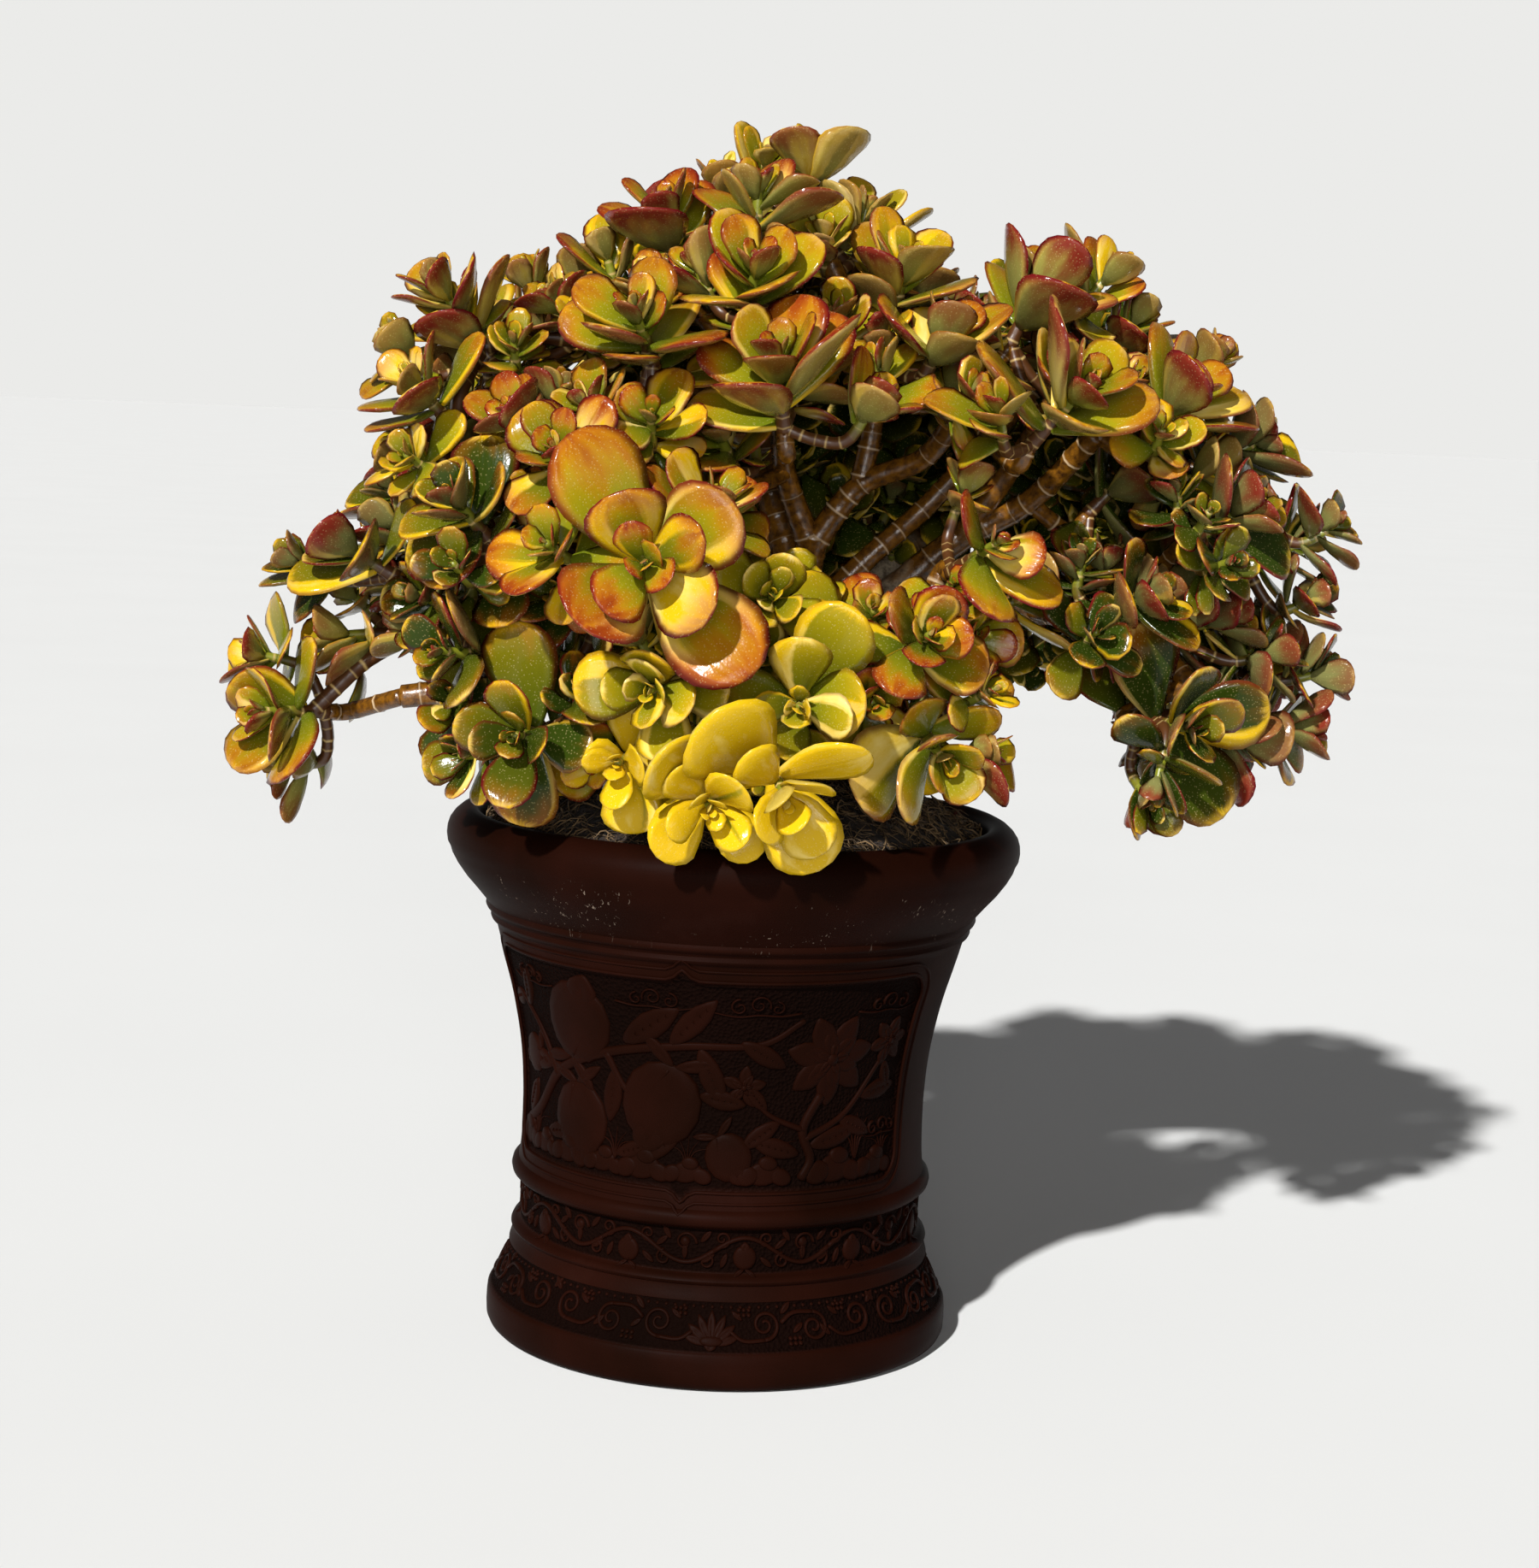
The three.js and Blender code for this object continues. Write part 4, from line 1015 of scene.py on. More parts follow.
# Shoots behind the opening in the crown and behind its top and right, on thin twigs of their own
innerShoots = [[
    [40, 34, 352, 26, -0.1, -1, 0.2], [70, 30, 366, 24, 0.2, -1, 0.2], [24, 30, 330, 24, -0.3, -1, 0.1],
    [62, 34, 330, 24, 0.1, -1, 0], [98, 34, 352, 26, 0.2, -1, 0.1], [128, 30, 372, 24, 0.3, -1, 0.2],
    [20, 40, 372, 26, -0.2, -1, 0.2], [50, 40, 388, 26, 0, -1, 0.2], [96, 36, 326, 24, 0.1, -1, 0],
    [40, 30, 306, 22, -0.1, -1, 0], [80, 30, 304, 22, 0.1, -1, 0], [120, 36, 340, 24, 0.2, -1, 0],
], [
    [70, 40, 408, 26, 0, -1, 0.2], [100, 44, 398, 26, 0.1, -1, 0.2], [132, 40, 400, 26, 0.1, -1, 0.2],
    [158, 40, 386, 26, 0.2, -1, 0.2], [150, 34, 344, 24, 0, -1, 0], [178, 40, 352, 26, 0.1, -1, 0.1],
    [196, 36, 330, 24, 0.2, -1, 0], [152, 36, 316, 22, 0, -1, 0], [180, 34, 300, 24, 0.1, -1, 0],
    [112, 30, 300, 22, 0, -1, -0.1], [186, 34, 390, 24, 0.3, -1, 0.2], [210, 30, 362, 22, 0.4, -1, 0],
    [-20, 40, 400, 26, -0.2, -1, 0.2], [10, 44, 420, 26, 0, -1, 0.2], [44, 44, 430, 26, 0.1, -1, 0.2],
    [28, 60, 368, 26, 0, -1, 0], [86, 60, 372, 26, 0, -1, 0], [146, 56, 366, 26, 0, -1, 0],
], [
    [24, 96, 374, 32, 0, -1, 0], [74, 96, 382, 32, 0, -1, 0], [124, 92, 376, 32, 0, -1, 0],
    [-60, 70, 390, 32, 0, -1, 0], [-96, 56, 352, 30, 0, -1, 0], [-30, 80, 432, 32, 0, -1, 0],
    [-58, 76, 336, 30, 0, -1, 0], [-20, 84, 366, 30, 0, -1, 0], [-100, 50, 312, 28, 0, -1, 0],
    [114, 60, 420, 30, 0, -1, 0.1], [152, 58, 424, 28, 0.1, -1, 0.2], [-50, 60, 450, 28, 0, -1, 0.2],
    [56, 66, 442, 28, 0, -1, 0.2],
]]
heart = np.array([15, 20, 300], float)
stemShape = {
    "rootRadius": 3.4, "tipRadius": 1.5, "forkStart": 7, "forkBow": 4, "scarGap": 5, "goldenTurn": 2.4,
    "scatter": 0.16, "liftFrom": 285, "liftOver": 60, "sides": 6, "step": 1.4, "perLeaf": 0.62,
    "bare": 7, "twigAim": 16, "twigEnd": 10, "climb": 0.35, "scarWidth": 0.6, "scarRise": 0.07,
}
twigRadii = [3.7, 3.7, 3.3]
limbRows = [np.array(rows, float) for rows in limbPlan.values()]


def planShoots():
    q = stemShape
    shoots = []
    for spray, rows in enumerate([*sprayPlan, *innerShoots]):
        inner = spray >= len(sprayPlan)
        for i, (x, y, z, reach, *faces) in enumerate(rows):
            n = len(shoots) + 1
            tip = np.array((x, y, z), float)
            facing = unit(np.array(faces, float) if faces else tip - heart)
            facing = unit(facing + q["scatter"] * np.array([spread(3 * n + k) for k in range(3)]))
            upwards = clamp((z - q["liftFrom"]) / q["liftOver"], 0, 1) * (0.4 + 0.3 * spread(5 * n + 2))
            facing = unit(facing + np.array([0, 0, upwards]))
            length = q["perLeaf"] * reach + q["bare"]
            shoots.append({
                "n": n, "spray": spray, "first": inner or i == 0, "side": inner, "tip": tip, "facing": facing,
                "reach": reach, "length": length, "foot": tip - facing * length})
    for s in shoots:
        if s["first"]:  # a twig from the nearest limb, which meets the shoot along its axis
            aim = s["foot"] - q["twigAim"] * s["facing"]
            joints = np.concatenate([rows[1:, :3] for rows in limbRows])
            cost = np.linalg.norm(joints - aim, axis=1) + q["climb"] * np.maximum(0, joints[:, 2] - aim[2])
            s["route"] = np.array([joints[cost.argmin()], s["foot"] - q["twigEnd"] * s["facing"], s["foot"]])
        else:  # a green fork from the spray's first shoot
            first = next(o for o in shoots if o["spray"] == s["spray"])
            start = first["foot"] + q["forkStart"] * first["facing"]
            middle = start + 0.6 * (s["foot"] - start)
            middle += q["forkBow"] * (first["facing"] - s["facing"] / 2)
            s["route"] = np.array([start, middle, s["foot"]])
    return shoots


# Younger shoots that fork off below each rosette, between its pairs of leaves, and turn to the light
sideShape = {
    "count": 7, "size": 0.64, "sizes": (17, 28), "apart": 0.53, "setBack": 0.6, "lean": 0.8,
    "toLight": 0.5, "stem": 2.5, "room": (-190, 240, -158, 166, 492),
    "lowest": 214, "potReach": 128, "potRoom": 240, "bare": 5, "aside": (0.6, 0.45), "limbGap": 5,
    "gapMargins": (8, 10, 4),
}
# More of them, as spray, tip x, y, z and longest leaf, and the way they face where that isn't outwards and up
outerShoots = [
    [16, 192, 2, 420, 25], [16, 146, 6, 452, 30], [19, 240, 6, 322, 22], [26, 238, 2, 266, 24],
    [4, -126, -48, 434, 27], [7, -182, -42, 322, 25], [33, -196, -52, 284, 24], [10, -62, -20, 452, 24],
    [24, 222, -20, 300, 24], [9, -96, -10, 440, 22], [31, -108, -84, 250, 22], [4, -142, -50, 412, 24],
    [26, 246, 4, 290, 24], [19, 246, 4, 352, 22], [25, 168, -66, 248, 26, -0.2, -0.5, -1],
    [29, 100, -96, 262, 24, 0.9, -0.3, 0.1], [34, 36, -96, 302, 28, 0.1, -1, 0.5],
    [34, 12, -104, 298, 24, -0.1, -1, 0.4], [27, 52, -84, 314, 22, 0, -1, 0.7],
    [34, 22, -62, 322, 22, 0, -1, 0.6], [27, 80, -100, 326, 22, 0.2, -1, 0.6],
    [27, 92, -84, 306, 24, 0.4, -1, 0.3], [30, 20, -144, 246, 40, 0.3, -1, -0.5],
    [30, -44, -118, 254, 26, -0.2, -1, -0.1], [32, -112, -80, 270, 25, -0.2, -1, 0.2],
    [11, 20, 4, 497, 27, 0.0, -0.15, 1], [11, -18, 2, 484, 24, -0.3, -0.4, 1],
]
# Room that leaves keep out of, as x from and to, z from and to, and the y behind which it ends
openGaps = [
    (30, 78, 328, 384, 8), (10, 30, 340, 384, 8), (98, 142, 348, 382, 8), (112, 147, 0, 272, 200),
    (147, 160, 0, 258, 200), (-152, -127, 234, 284, 200), (-168, -128, 0, 246, 200),
]


def planSideShoots(main):
    # They leave the gaps open, and keep off wood, soil and pot
    q = sideShape
    made = []
    left, right, front, back, top = q["room"]
    wide, high, behind = q["gapMargins"]
    bars = [(np.array(a[:3]), np.array(b[:3]), max(a[3], b[3]))
            for rows in limbRows for a, b in zip(rows, rows[1:])]
    for i, (spray, x, y, z, reach, *facing) in enumerate(outerShoots):
        s = next(o for o in main if o["spray"] == spray - 1)
        tip = np.array((x, y, z), float)
        facing = unit(np.array(facing) if facing else unit(tip - heart) + np.array([0, 0, 0.3]))
        made.append(forkedShoot(s, 250 + i, tip, facing, reach))
    for k in range(q["count"]):
        for s in main:
            n = 300 + s["n"] * 9 + k
            flat, over = crossPlane(s["facing"])
            turn = s["n"] * stemShape["goldenTurn"] + math.pi * (0.25 + 2 * k / q["count"]) + 0.35 * spread(n)
            lateral = flat * math.cos(turn) + over * math.sin(turn)
            reach = clamp(s["reach"] * q["size"] * (1 + 0.2 * spread(n + 2)), *q["sizes"])
            facing = unit(0.75 * s["facing"] + q["lean"] * lateral + np.array([0, 0, q["toLight"]])
                          + 0.25 * np.array([spread(n + 3), spread(n + 4), spread(n + 5)]))
            tip = s["tip"] + lateral * (q["aside"][0] * s["reach"] + q["aside"][1] * reach)
            tip = tip - s["facing"] * s["reach"] * (q["setBack"] + 0.3 * spread(n + 6))
            x, y, z = tip
            r = math.hypot(x, y)
            if not (left < x < right and front < y < back and z < top):
                continue
            if any(a - wide < x < b + wide and c - high < z < d + high and y < e + behind
                   for a, b, c, d, e in openGaps):
                continue
            if z < q["lowest"] or r < q["potReach"] and z < q["potRoom"]:
                continue
            if any(np.linalg.norm(o["tip"] - tip) < q["apart"] * (o["reach"] + reach) for o in main + made):
                continue
            if any(barGap(tip, a, b) < radius + q["limbGap"] for a, b, radius in bars):
                continue
            made.append(forkedShoot(s, n, tip, facing, reach))
    return made


def crossPlane(facing):
    flat = unit(np.cross((0.2, 0.1, 1), facing))
    return flat, np.cross(facing, flat)


def forkedShoot(parent, n, tip, facing, reach):
    length = stemShape["perLeaf"] * reach + sideShape["bare"]
    foot = tip - facing * length
    start = parent["foot"] + 1.5 * parent["facing"]
    middle = start + 0.55 * (foot - start) - 2.5 * facing
    return {"n": n, "spray": parent["spray"], "first": False, "side": True, "tip": tip, "facing": facing,
            "reach": reach, "length": length, "foot": foot, "route": np.array([start, middle, foot])}


def barGap(point, a, b):
    t = clamp((point - a).dot(b - a) / (b - a).dot(b - a), 0, 1)
    return np.linalg.norm(point - a - t * (b - a))


shoots = planShoots()
shoots += planSideShoots(shoots)
print("shoots:", len(shoots))


# Wood

woodShape = {
    "step": 1.3, "sides": 11, "trunkSides": 24, "twigSides": 8, "innerTwigSides": 6, "ringGap": 10,
    "ringWidth": 0.6, "ringRise": 0.1, "young": 5.4, "old": 9.5, "lumpSize": 9, "foldSize": (5, 30),
    "lumps": 0.05, "folds": 0.07, "youngLumps": 0.012,
}


def ringedLimb(rows, sides, n):
    # A limb with a raised scar every centimetre or so, which sinks into the bark as it gets older
    w = woodShape
    path = curveThrough(rows, w["step"])
    radii = path[:, 3].copy()
    at = runAlong(path)
    ring = np.zeros(len(at))
    place, k = 3 + 3 * draw(n), 0
    while place < at[-1]:
        ring = np.maximum(ring, np.exp(-((at - place) / w["ringWidth"]) ** 2))
        k += 1
        place += w["ringGap"] * (1 + 0.35 * spread(17 * n + k))
    age = np.clip((radii - w["young"]) / (w["old"] - w["young"]), 0, 1)
    radii *= 1 + w["ringRise"] * ring * (1 - 0.6 * age)
    turns = np.arange(sides) * 2 * math.pi / sides
    wide, tall = w["foldSize"]
    shape = []
    for p, r, old in zip(path, radii, age):
        corners = p[:3] + r * np.stack([np.cos(turns), np.sin(turns), 0 * turns], 1)
        rough = np.array([noise.fractal(Vector(c / w["lumpSize"]), 0.7, 2.0, 4) for c in corners])
        fold = np.array([noise.noise(Vector((c[0] / wide, c[1] / wide, c[2] / tall))) for c in corners])
        shape.append(1 + old * (w["lumps"] * rough + w["folds"] * fold) + w["youngLumps"] * rough)
    limb = sweep(path[:, :3], radii, sides, shape)
    limb["barkPlace"] = np.vstack([np.repeat(np.stack([at, ring * (1 - 0.7 * age), age], 1), sides, axis=0),
                                   np.zeros((2, 3)) + (0, 0, age[-1])])
    return limb


def twigSize(s):
    return np.array(twigRadii) * (0.65 if s["side"] else 1)


def makeWood():
    w = woodShape
    parts = []
    for i, rows in enumerate(limbRows):
        parts.append(ringedLimb(rows, w["sides"] if i else w["trunkSides"], i + 1))
    for s in shoots:
        if s["first"]:
            rows = np.column_stack([s["route"], twigSize(s)])
            parts.append(ringedLimb(rows, w["innerTwigSides"] if s["side"] else w["twigSides"], 60 + s["n"]))
    wood = castMesh("woody_limbs", parts, [jadeBark], ["barkPlace"])
    keepPiece(wood, "bark", "trunk_and_branches")


makeWood()
print("wood made")


# Leaves

leafShape = {"halfWidth": 0.395, "thickness": 0.058, "large": 33, "small": 19, "lowest": 150,
             "soilGap": 1.5, "woodGap": 0.3, "clearFrom": 0.24, "topFrom": 380, "topOver": 60, "topLift": 24,
             "seat": 0.8, "hook": 0.5, "strays": 12, "bendStep": 8, "shrinkStep": 0.88, "lifts": (-55, 86)}
# How leaves differ: the middle value of each measure and how far it strays, with angles in degrees
leafVariety = {
    "bow": (14, 16), "cup": (0.13, 0.12), "roll": (0, 14), "twist": (0, 16), "broad": (0.95, 0.2),
    "thick": (1, 0.2),
}
# Stations of the blade from root to tip: place, half width and half thickness as shares of the largest
leafStations = [
    (0.035, 0.2, 0.75), (0.13, 0.36, 0.9), (0.27, 0.58, 1), (0.42, 0.8, 1), (0.57, 0.96, 1),
    (0.7, 1, 0.95), (0.82, 0.92, 0.82), (0.915, 0.7, 0.66), (0.975, 0.4, 0.45),
]


def modelLeaf(segments, stations):
    # One leaf, lying along +X: a sphere whose rings are drawn out to the blade's stations
    deselectAll()
    bpy.ops.mesh.primitive_uv_sphere_add(segments=segments, ring_count=len(stations) + 1, radius=1)
    bpy.ops.object.mode_set(mode="EDIT")
    bpy.ops.mesh.select_all(action="SELECT")
    bpy.ops.transform.rotate(value=math.pi / 2, orient_axis="Y", orient_matrix=Matrix.Identity(3),
                             center_override=(0, 0, 0))
    leaf = bpy.context.object
    cage = bmesh.from_edit_mesh(leaf.data)
    rings = sorted({round(v.co.x, 4) for v in cage.verts})
    aside = 10  # clear of the rings that aren't moved yet
    for x, (share, width, thick) in zip(rings[1:-1], stations):
        size = math.sqrt(1 - x * x)
        pick(lambda c: abs(c.x - x) < 0.001)
        bpy.ops.transform.resize(value=(1, width / size, thick / size), center_override=(0, 0, 0))
        bpy.ops.transform.translate(value=(aside + share - x, 0, 0))
    pick(lambda c: c.x > aside / 2)
    bpy.ops.transform.translate(value=(-aside, 0, 0))
    pick(lambda c: c.x < -0.99)
    bpy.ops.transform.translate(value=(1, 0, 0))
    bpy.ops.mesh.select_all(action="SELECT")
    bpy.ops.mesh.normals_make_consistent(inside=False)
    bpy.ops.object.mode_set(mode="OBJECT")
    co = np.array([v.co for v in leaf.data.vertices])
    faces = [tuple(f.vertices) for f in leaf.data.polygons]
    bpy.data.objects.remove(leaf)
    widths = np.array([(0, 0.08, 0.5), *stations, (1, 0.2, 0.3)])
    across = np.clip(co[:, 1] / np.interp(co[:, 0], widths[:, 0], widths[:, 1]), -1, 1)
    under = np.where(co[:, 2] < -0.02, 1.0, np.where(co[:, 2] > 0.02, 0.0, 0.5))
    return {"co": co, "faces": faces, "place": np.stack([co[:, 0], across, under], 1)}


# Leaves are tried for room with the fullest form, and made with fewer faces the smaller they are
triedLeaf = modelLeaf(8, leafStations)
largeLeaf = modelLeaf(8, [leafStations[k] for k in (0, 2, 3, 5, 6, 7, 8)])
smallLeaf = modelLeaf(6, [leafStations[k] for k in (0, 2, 4, 6, 8)])
outerBlade = triedLeaf["co"][:, 0] > leafShape["clearFrom"]  # what has to stay clear of other leaves
outerIndex = np.cumsum(outerBlade) - 1
outerFaces = [tuple(int(outerIndex[i]) for i in f) for f in triedLeaf["faces"]
              if all(outerBlade[i] for i in f)]

# Pairs up a shoot: place, size and lift over the shoot's cross plane, with each pair a quarter turn on
leafPairs = [
    (0.08, 1.02, -18), (0.3, 1.16, 6), (0.46, 1.06, 22), (0.6, 0.9, 36), (0.73, 0.7, 48),
    (0.84, 0.48, 60), (0.93, 0.3, 72), (1.0, 0.17, 82), (-0.14, 0.98, -32), (-0.32, 0.9, -44),
]
pairOrder = [7, 6, 5, 4, 1, 2, 3, 0, 8, 9]
sideWithout = (6, 9)  # pairs that a side shoot hasn't room for
# What a leaf tries until it has room: steps of bend, and steps down in size
leafTries = [
    (0, 0), (1, 0), (-1, 0), (2, 0), (-2, 0), (0, 1), (1, 1), (-1, 1), (3, 0), (-3, 0), (2, 1), (-2, 1),
    (4, 0), (0, 2), (2, 2), (-2, 2), (4, 1), (-4, 1), (5, 2), (-5, 2), (0, 3), (3, 3), (-3, 3),
]


def leafPoints(leaf, form):
    # The middle line rises by lift over the cross plane and bows upwards to the tip
    leafAlong, across, leafUp = form["co"].T
    bow, lift, length = leaf["bow"], leaf["lift"], leaf["length"]
    angle = lift + bow * leafAlong
    run = (np.sin(angle) - math.sin(lift)) / bow
    rise = (math.cos(lift) - np.cos(angle)) / bow
    out, side, facing = leaf["out"], leaf["side"], leaf["facing"]
    face = np.outer(np.cos(angle), facing) - np.outer(np.sin(angle), out)
    roll = (leaf["roll"] + leaf["twist"] * leafAlong)[:, None]
    width = side * np.cos(roll) + face * np.sin(roll)
    normal = face * np.cos(roll) - side * np.sin(roll)
    half = leafShape["halfWidth"] * leaf["broad"] * length
    up = leafUp * leafShape["thickness"] * leaf["thick"] * length + leaf["cup"] * half * across ** 2
    up += leaf["hook"] * length * np.maximum(0, leafAlong - 0.7) ** 2
    middle = leaf["root"] + length * (np.outer(run, out) + np.outer(rise, facing))
    return middle + (across * half)[:, None] * width + up[:, None] * normal


def stemRadius(s):
    return sideShape["stem"] if s["side"] else stemShape["rootRadius"]


def rodTable():
    rows = []
    for limb in limbRows:
        rows += [(*a[:3], *b[:3], max(a[3], b[3]), 0) for a, b in zip(limb, limb[1:])]
    for s in shoots:
        radius, owner = (twigSize(s)[0], 0) if s["first"] else (stemRadius(s), s["n"])
        rows += [(*a, *b, radius, owner) for a, b in zip(s["route"], s["route"][1:])]
        rows.append((*s["foot"], *s["tip"], stemRadius(s) * 0.8, s["n"]))
    return np.array(rows)


rods = rodTable()
rodLines = rods[:, 3:6] - rods[:, :3]


def nearRods(shoot):
    t = np.clip(((shoot["tip"] - rods[:, :3]) * rodLines).sum(1) / (rodLines ** 2).sum(1), 0, 1)
    gap = np.linalg.norm(shoot["tip"] - rods[:, :3] - t[:, None] * rodLines, axis=1)
    return np.flatnonzero((gap < 1.5 * shoot["reach"] + shoot["length"]) & (rods[:, 7] != shoot["n"]))


def clearOfRest(points, near):
    # Clear of wood, soil and pot
    p = potShape
    x, y, z = points.T
    r = np.hypot(x, y)
    overSoil = r < p["mouth"]
    if (overSoil & (z < soilTop(r) + leafShape["soilGap"])).any() or (z < leafShape["lowest"]).any():
        return False
    if (~overSoil & (r < p["lip"]) & (z < p["lipTop"])).any():
        return False
    if any(((x > a) & (x < b) & (z > c) & (z < d) & (y < e)).any() for a, b, c, d, e in openGaps):
        return False
    a, line = rods[near, :3], rodLines[near]
    t = np.clip(((points[:, None] - a) * line).sum(2) / (line ** 2).sum(1), 0, 1)
    gap = np.linalg.norm(points[:, None] - a - t[..., None] * line, axis=2) - rods[near, 6]
    return gap.min() > leafShape["woodGap"]


def growLeaves():
    # Pair by pair over the whole crown, and a leaf that finds no room is left out
    q = leafShape
    grown, centres, radii = [], np.zeros((0, 3)), np.zeros(0)
    for s in shoots:
        s["near"] = nearRods(s)
    for pair in pairOrder:
        at, size, lift = leafPairs[pair]
        for s in shoots:
            if s["side"] and pair in sideWithout:
                continue
            flat, over = crossPlane(s["facing"])
            for hand in range(2):
                n = s["n"] * 40 + pair * 4 + hand
                turn = s["n"] * stemShape["goldenTurn"] + (pair - 1) * math.pi / 2 + hand * math.pi
                turn += 0.3 * spread(n)
                out = flat * math.cos(turn) + over * math.sin(turn)
                leaf = {
                    "shoot": s, "n": n, "out": out, "side": np.cross(s["facing"], out), "facing": s["facing"],
                    "root": s["foot"] + at * s["length"] * s["facing"] + q["seat"] * out,
                    "hook": -q["hook"] * draw(n + 37)}
                for (key, (usual, strays)), seed in zip(leafVariety.items(), (13, 17, 19, 23, 29, 31)):
                    leaf[key] = usual + strays * spread(n + seed)
                for key in ("bow", "roll", "twist"):
                    leaf[key] = math.radians(leaf[key])
                if abs(leaf["bow"]) < 0.02:  # a straight leaf would divide by nothing
                    leaf["bow"] = 0.02
                # A rosette at the top holds its leaves up
                upright = q["topLift"] * clamp((s["tip"][2] - q["topFrom"]) / q["topOver"], 0, 1)
                for bends, shrinks in leafTries:
                    angle = lift + upright + q["strays"] * spread(n + 11) + q["bendStep"] * bends
                    leaf["lift"] = math.radians(clamp(angle, *q["lifts"]))
                    leaf["length"] = s["reach"] * size * (0.96 + 0.17 * spread(n + 7))
                    leaf["length"] *= q["shrinkStep"] ** shrinks
                    outer = leafPoints(leaf, triedLeaf)[outerBlade]
                    if not clearOfRest(outer, s["near"]):
                        continue
                    middle = outer.mean(0)
                    reach = np.linalg.norm(outer - middle, axis=1).max()
                    tree = BVHTree.FromPolygons(outer.tolist(), outerFaces)
                    close = np.flatnonzero(np.linalg.norm(centres - middle, axis=1) < radii + reach)
                    if any(tree.overlap(grown[i]["tree"]) for i in close):
                        continue
                    leaf["tree"] = tree
                    grown.append(leaf)
                    centres = np.vstack([centres, middle])
                    radii = np.append(radii, reach)
                    break
    return grown


# Colours of a spray's leaves: shares of yellow, sun flush, shade and crimson rim
# The shade share deepens the green: partly the darker colour of jade leaves grown in shade, partly painted
# shade
leafMoods = {
    "mixed": (0.26, 0.6, 0.22, 0.85), "flushed": (0.4, 0.95, 0.05, 0.9), "crimson": (0.3, 0.95, 0.3, 1.0),
    "golden": (1.35, 0.05, 0.0, 0.05), "ripe": (0.6, 0.4, 0.1, 0.7), "fresh": (0.36, 0.25, 0.2, 0.4),
    "sunny": (0.3, 0.75, 0.0, 0.9), "dim": (0.0, 0.45, 0.9, 0.9), "dusky": (0.06, 0.5, 0.85, 0.95),
    "inner": (0.1, 0.15, 0.9, 0.4),
}
# The dim, dusky and inner moods put that painted shade on sprays at the crown's sides and back, and inside it
sprayMoods = {
    "flushed": [1, 2, 10, 12, 22], "crimson": [3, 5, 27, 37], "golden": [30], "ripe": [11],
    "sunny": [13, 14, 15, 16, 17, 18], "fresh": [28, 34], "dim": [8, 19, 20, 21, 23, 24, 25, 26, 44],
    "dusky": [6, 7, 31, 32, 36, 38], "inner": [58, 59, 60],
}

goldenTop = 266  # the height below which a golden spray has lost its green


def leafColours(leaf):
    spray, n = leaf["shoot"]["spray"] + 1, leaf["n"]
    mood = next((m for m, members in sprayMoods.items() if spray in members), "mixed")
    if mood == "golden" and leaf["root"][2] > goldenTop:
        mood = "fresh"
    yellow, flush, darkGreenAndPaintedShade, rimRed = leafMoods[mood]
    yellow += 0.4 * spread(n + 41)
    if draw(n + 43) > 0.88 and darkGreenAndPaintedShade < 0.5:
        yellow += 0.5  # now and then a leaf has hardly any green
    shift = 0.75 * spread(n + 47) if draw(n + 53) > 0.55 else 0.2 * spread(n + 47)
    flush = clamp(flush * (0.55 + 0.75 * draw(n + 59)), 0, 1)
    darkGreenAndPaintedShade = clamp(darkGreenAndPaintedShade + 0.3 * spread(n + 61), 0, 1)
    rimRed = clamp(rimRed * (0.4 + 0.9 * draw(n + 67)), 0, 1)
    seed = draw(n + 71) * (0.2 if mood == "golden" else 1)  # a low one leaves out the cream
    return (yellow, shift, seed), (flush, darkGreenAndPaintedShade, rimRed)


def stemPart(s):
    # From its fork, or from the end of its twig, to the shoot's tip
    q = stemShape
    points = np.vstack([s["route"] if not s["first"] else s["foot"][None] + 0.2 * s["facing"], s["tip"]])
    radii = [stemRadius(s)] * (len(points) - 1) + [q["tipRadius"]]
    path = curveThrough(np.column_stack([points, radii]), q["step"])
    at = runAlong(path)
    scar = np.exp(-((at % q["scarGap"] - 0.5 * q["scarGap"]) / q["scarWidth"]) ** 2)
    stem = sweep(path[:, :3], path[:, 3] * (1 + q["scarRise"] * scar), q["sides"])
    stem["leafPlace"] = np.vstack([np.repeat(np.stack([at, scar, at[-1] - at], 1), q["sides"], axis=0),
                                   [(0, 0, at[-1]), (0, 0, 0)]])
    stem.update(leafPattern=np.zeros(3), leafTint=np.zeros(3), finish=1)
    return stem


def makeSprays():
    leaves = growLeaves()
    print("leaves grown:", len(leaves))
    for spray in range(len(sprayPlan) + len(innerShoots)):
        inner = spray >= len(sprayPlan)
        parts = [stemPart(s) for s in shoots if s["spray"] == spray]
        for leaf in leaves:
            if leaf["shoot"]["spray"] == spray:
                pattern, tint = leafColours(leaf)
                form = largeLeaf if leaf["length"] < leafShape["large"] else triedLeaf
                if inner or leaf["length"] < leafShape["small"]:
                    form = smallLeaf
                parts.append({
                    "co": leafPoints(leaf, form), "faces": form["faces"], "leafPlace": form["place"],
                    "leafPattern": np.array(pattern), "leafTint": np.array(tint)})
        name = f"inner_{spray + 1 - len(sprayPlan)}" if inner else f"{spray + 1:02d}"
        piece = castMesh("leaves_" + name, parts, [waxyJadeLeaf, greenJadeStem],
                         ["leafPlace", "leafPattern", "leafTint"])
        keepPiece(piece, "leaf", *([] if inner else ["leafy_spray_" + name]))


makeSprays()
print("sprays made")


# Floor, light and camera

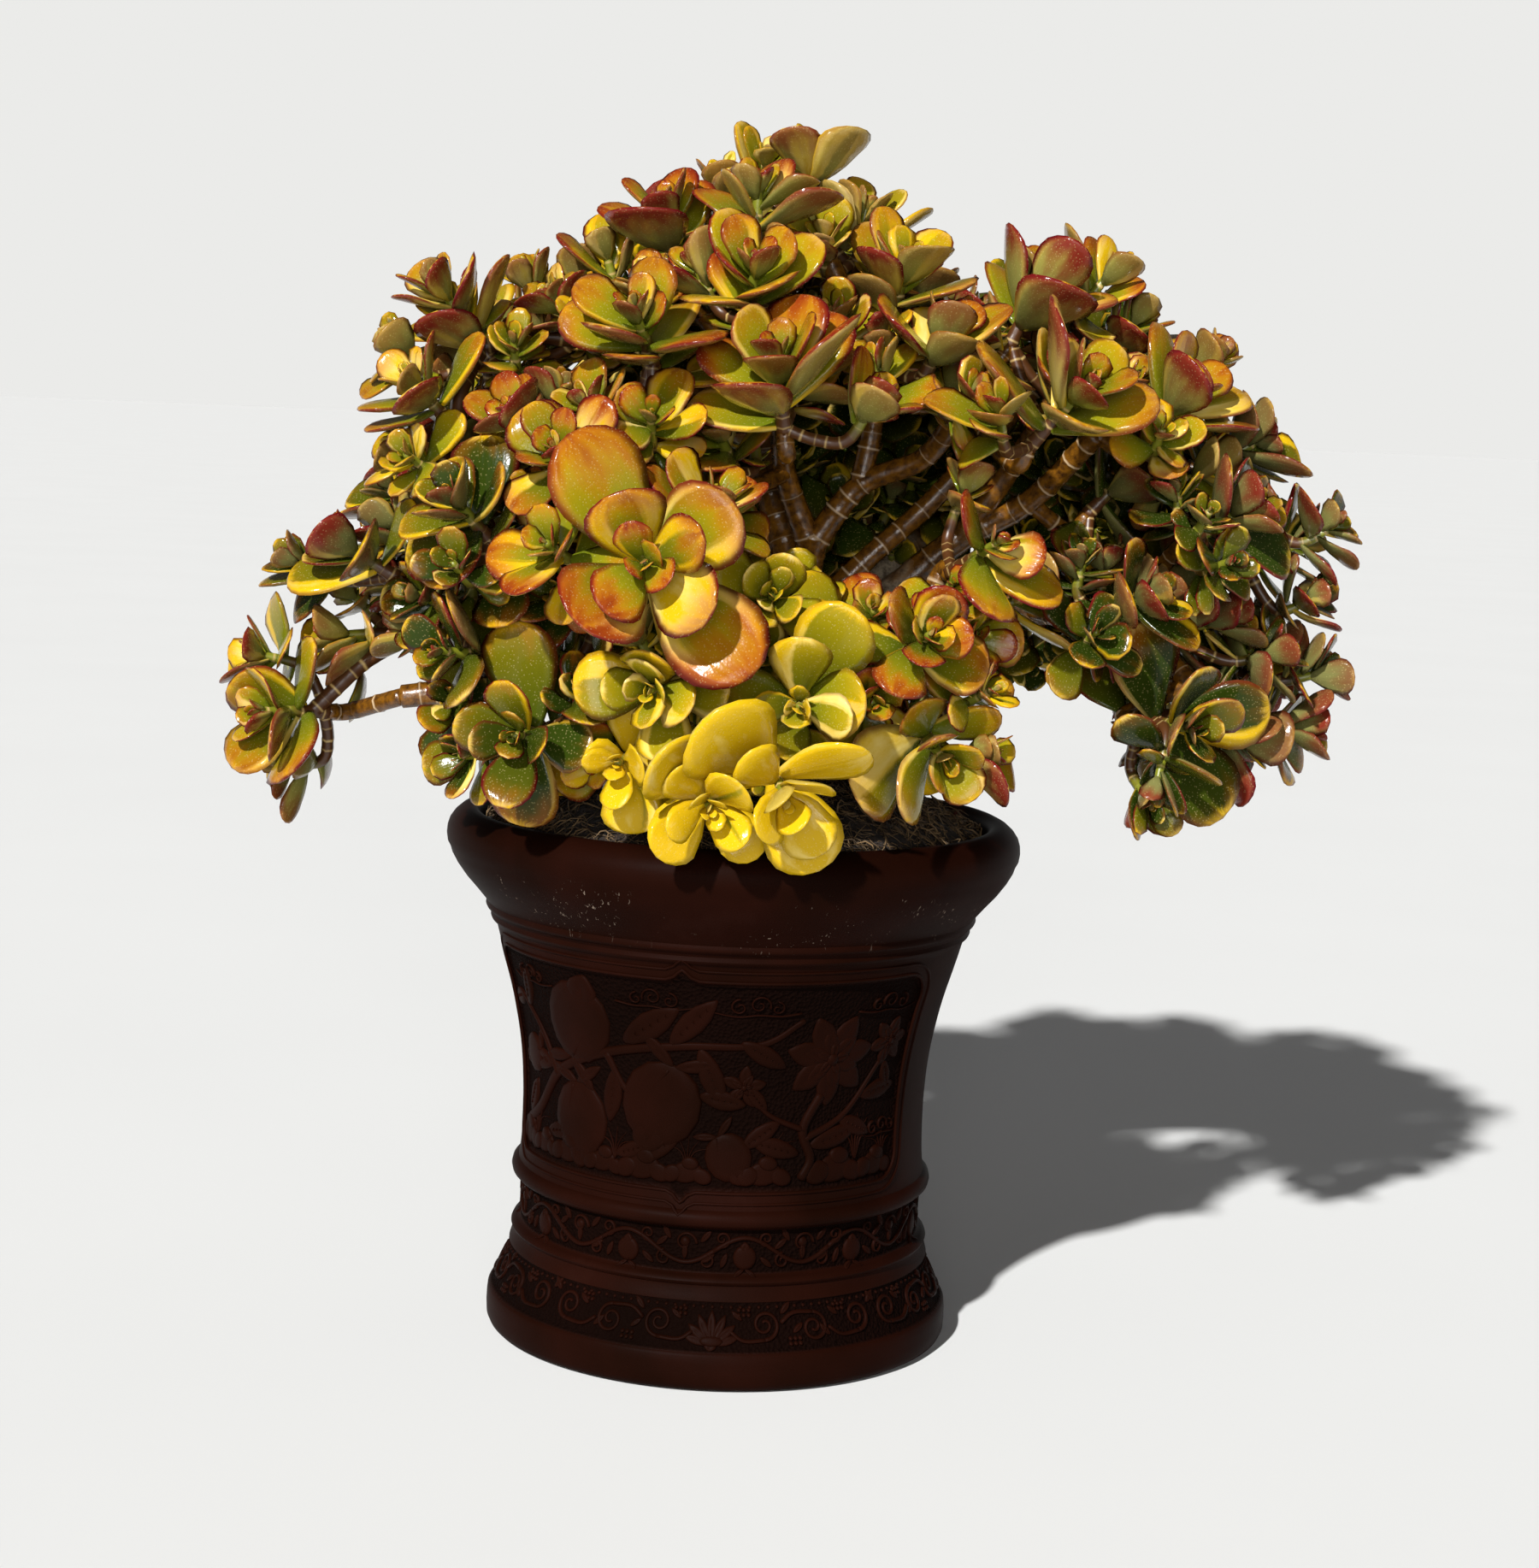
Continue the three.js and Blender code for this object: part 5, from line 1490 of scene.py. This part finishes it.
def makeFloor():
    deselectAll()
    bpy.ops.mesh.primitive_circle_add(vertices=96, radius=studio["floorRadius"], fill_type="NGON")
    floor = bpy.context.object
    floor.name = "studio_floor"
    floor.data.materials.append(makeFloorMaterial())


studio = {
    "keyPlace": (-0.66, -1.5, 1.18), "keyAngle": 2, "keyPower": 6.0, "fillPlace": (0.05, -1.5, 0.22),
    "fillAngle": 24, "fillPower": 1.2, "wall": "#EBEBE9", "ceiling": "#48484A", "wallTop": 0.15,
    "wallFade": 0.05, "floorRadius": 60,
}


def addLights():
    # A small key high in front, a broad weak fill low in front, pale walls and a dim ceiling
    for name in ("key", "fill"):
        bpy.ops.object.light_add(type="SUN", location=studio[name + "Place"])
        lamp = bpy.context.object
        lamp.name = name + "_light"
        lamp.data.energy, lamp.data.angle = studio[name + "Power"], math.radians(studio[name + "Angle"])
        lamp.rotation_euler = (-lamp.location).to_track_quat("-Z", "Y").to_euler()
    world = bpy.data.worlds.new("studio")
    world.use_nodes = True
    tree = world.node_tree
    direction = addNode(tree, "SeparateXYZ", [addNode(tree, "TexCoord").outputs["Generated"]])
    low = studio["wallTop"]
    height = addNode(tree, "MapRange", [direction.outputs[2], low, low + studio["wallFade"]])
    colours = [hexColour(studio[name]) for name in ("wall", "ceiling")]
    tone = addNode(tree, "Mix", [height, *colours], data_type="RGBA")
    plug(tree, tone, tree.nodes["Background"].inputs["Color"])
    bpy.context.scene.world = world


cameraPlan = {
    "place": (0.014, -1.224, 0.390), "pitch": -7.3, "roll": 2.4, "focalPixels": 3428, "tallPixels": 1834,
}


def addCamera():
    c = cameraPlan
    bpy.ops.object.camera_add(location=c["place"])
    camera = bpy.context.object
    camera.name = "main_camera"
    pitch, roll = math.radians(90 + c["pitch"]), math.radians(c["roll"])
    turned = Matrix.Rotation(pitch, 4, "X") @ Matrix.Rotation(roll, 4, "Z")
    camera.matrix_world = Matrix.Translation(c["place"]) @ turned
    camera.data.sensor_width = 36
    camera.data.lens = 36 * c["focalPixels"] / c["tallPixels"]
    camera.data.clip_start = 0.01
    bpy.context.scene.camera = camera


makeFloor()
addLights()
addCamera()
bpy.context.scene.view_settings.view_transform = "Standard"
print("studio made")
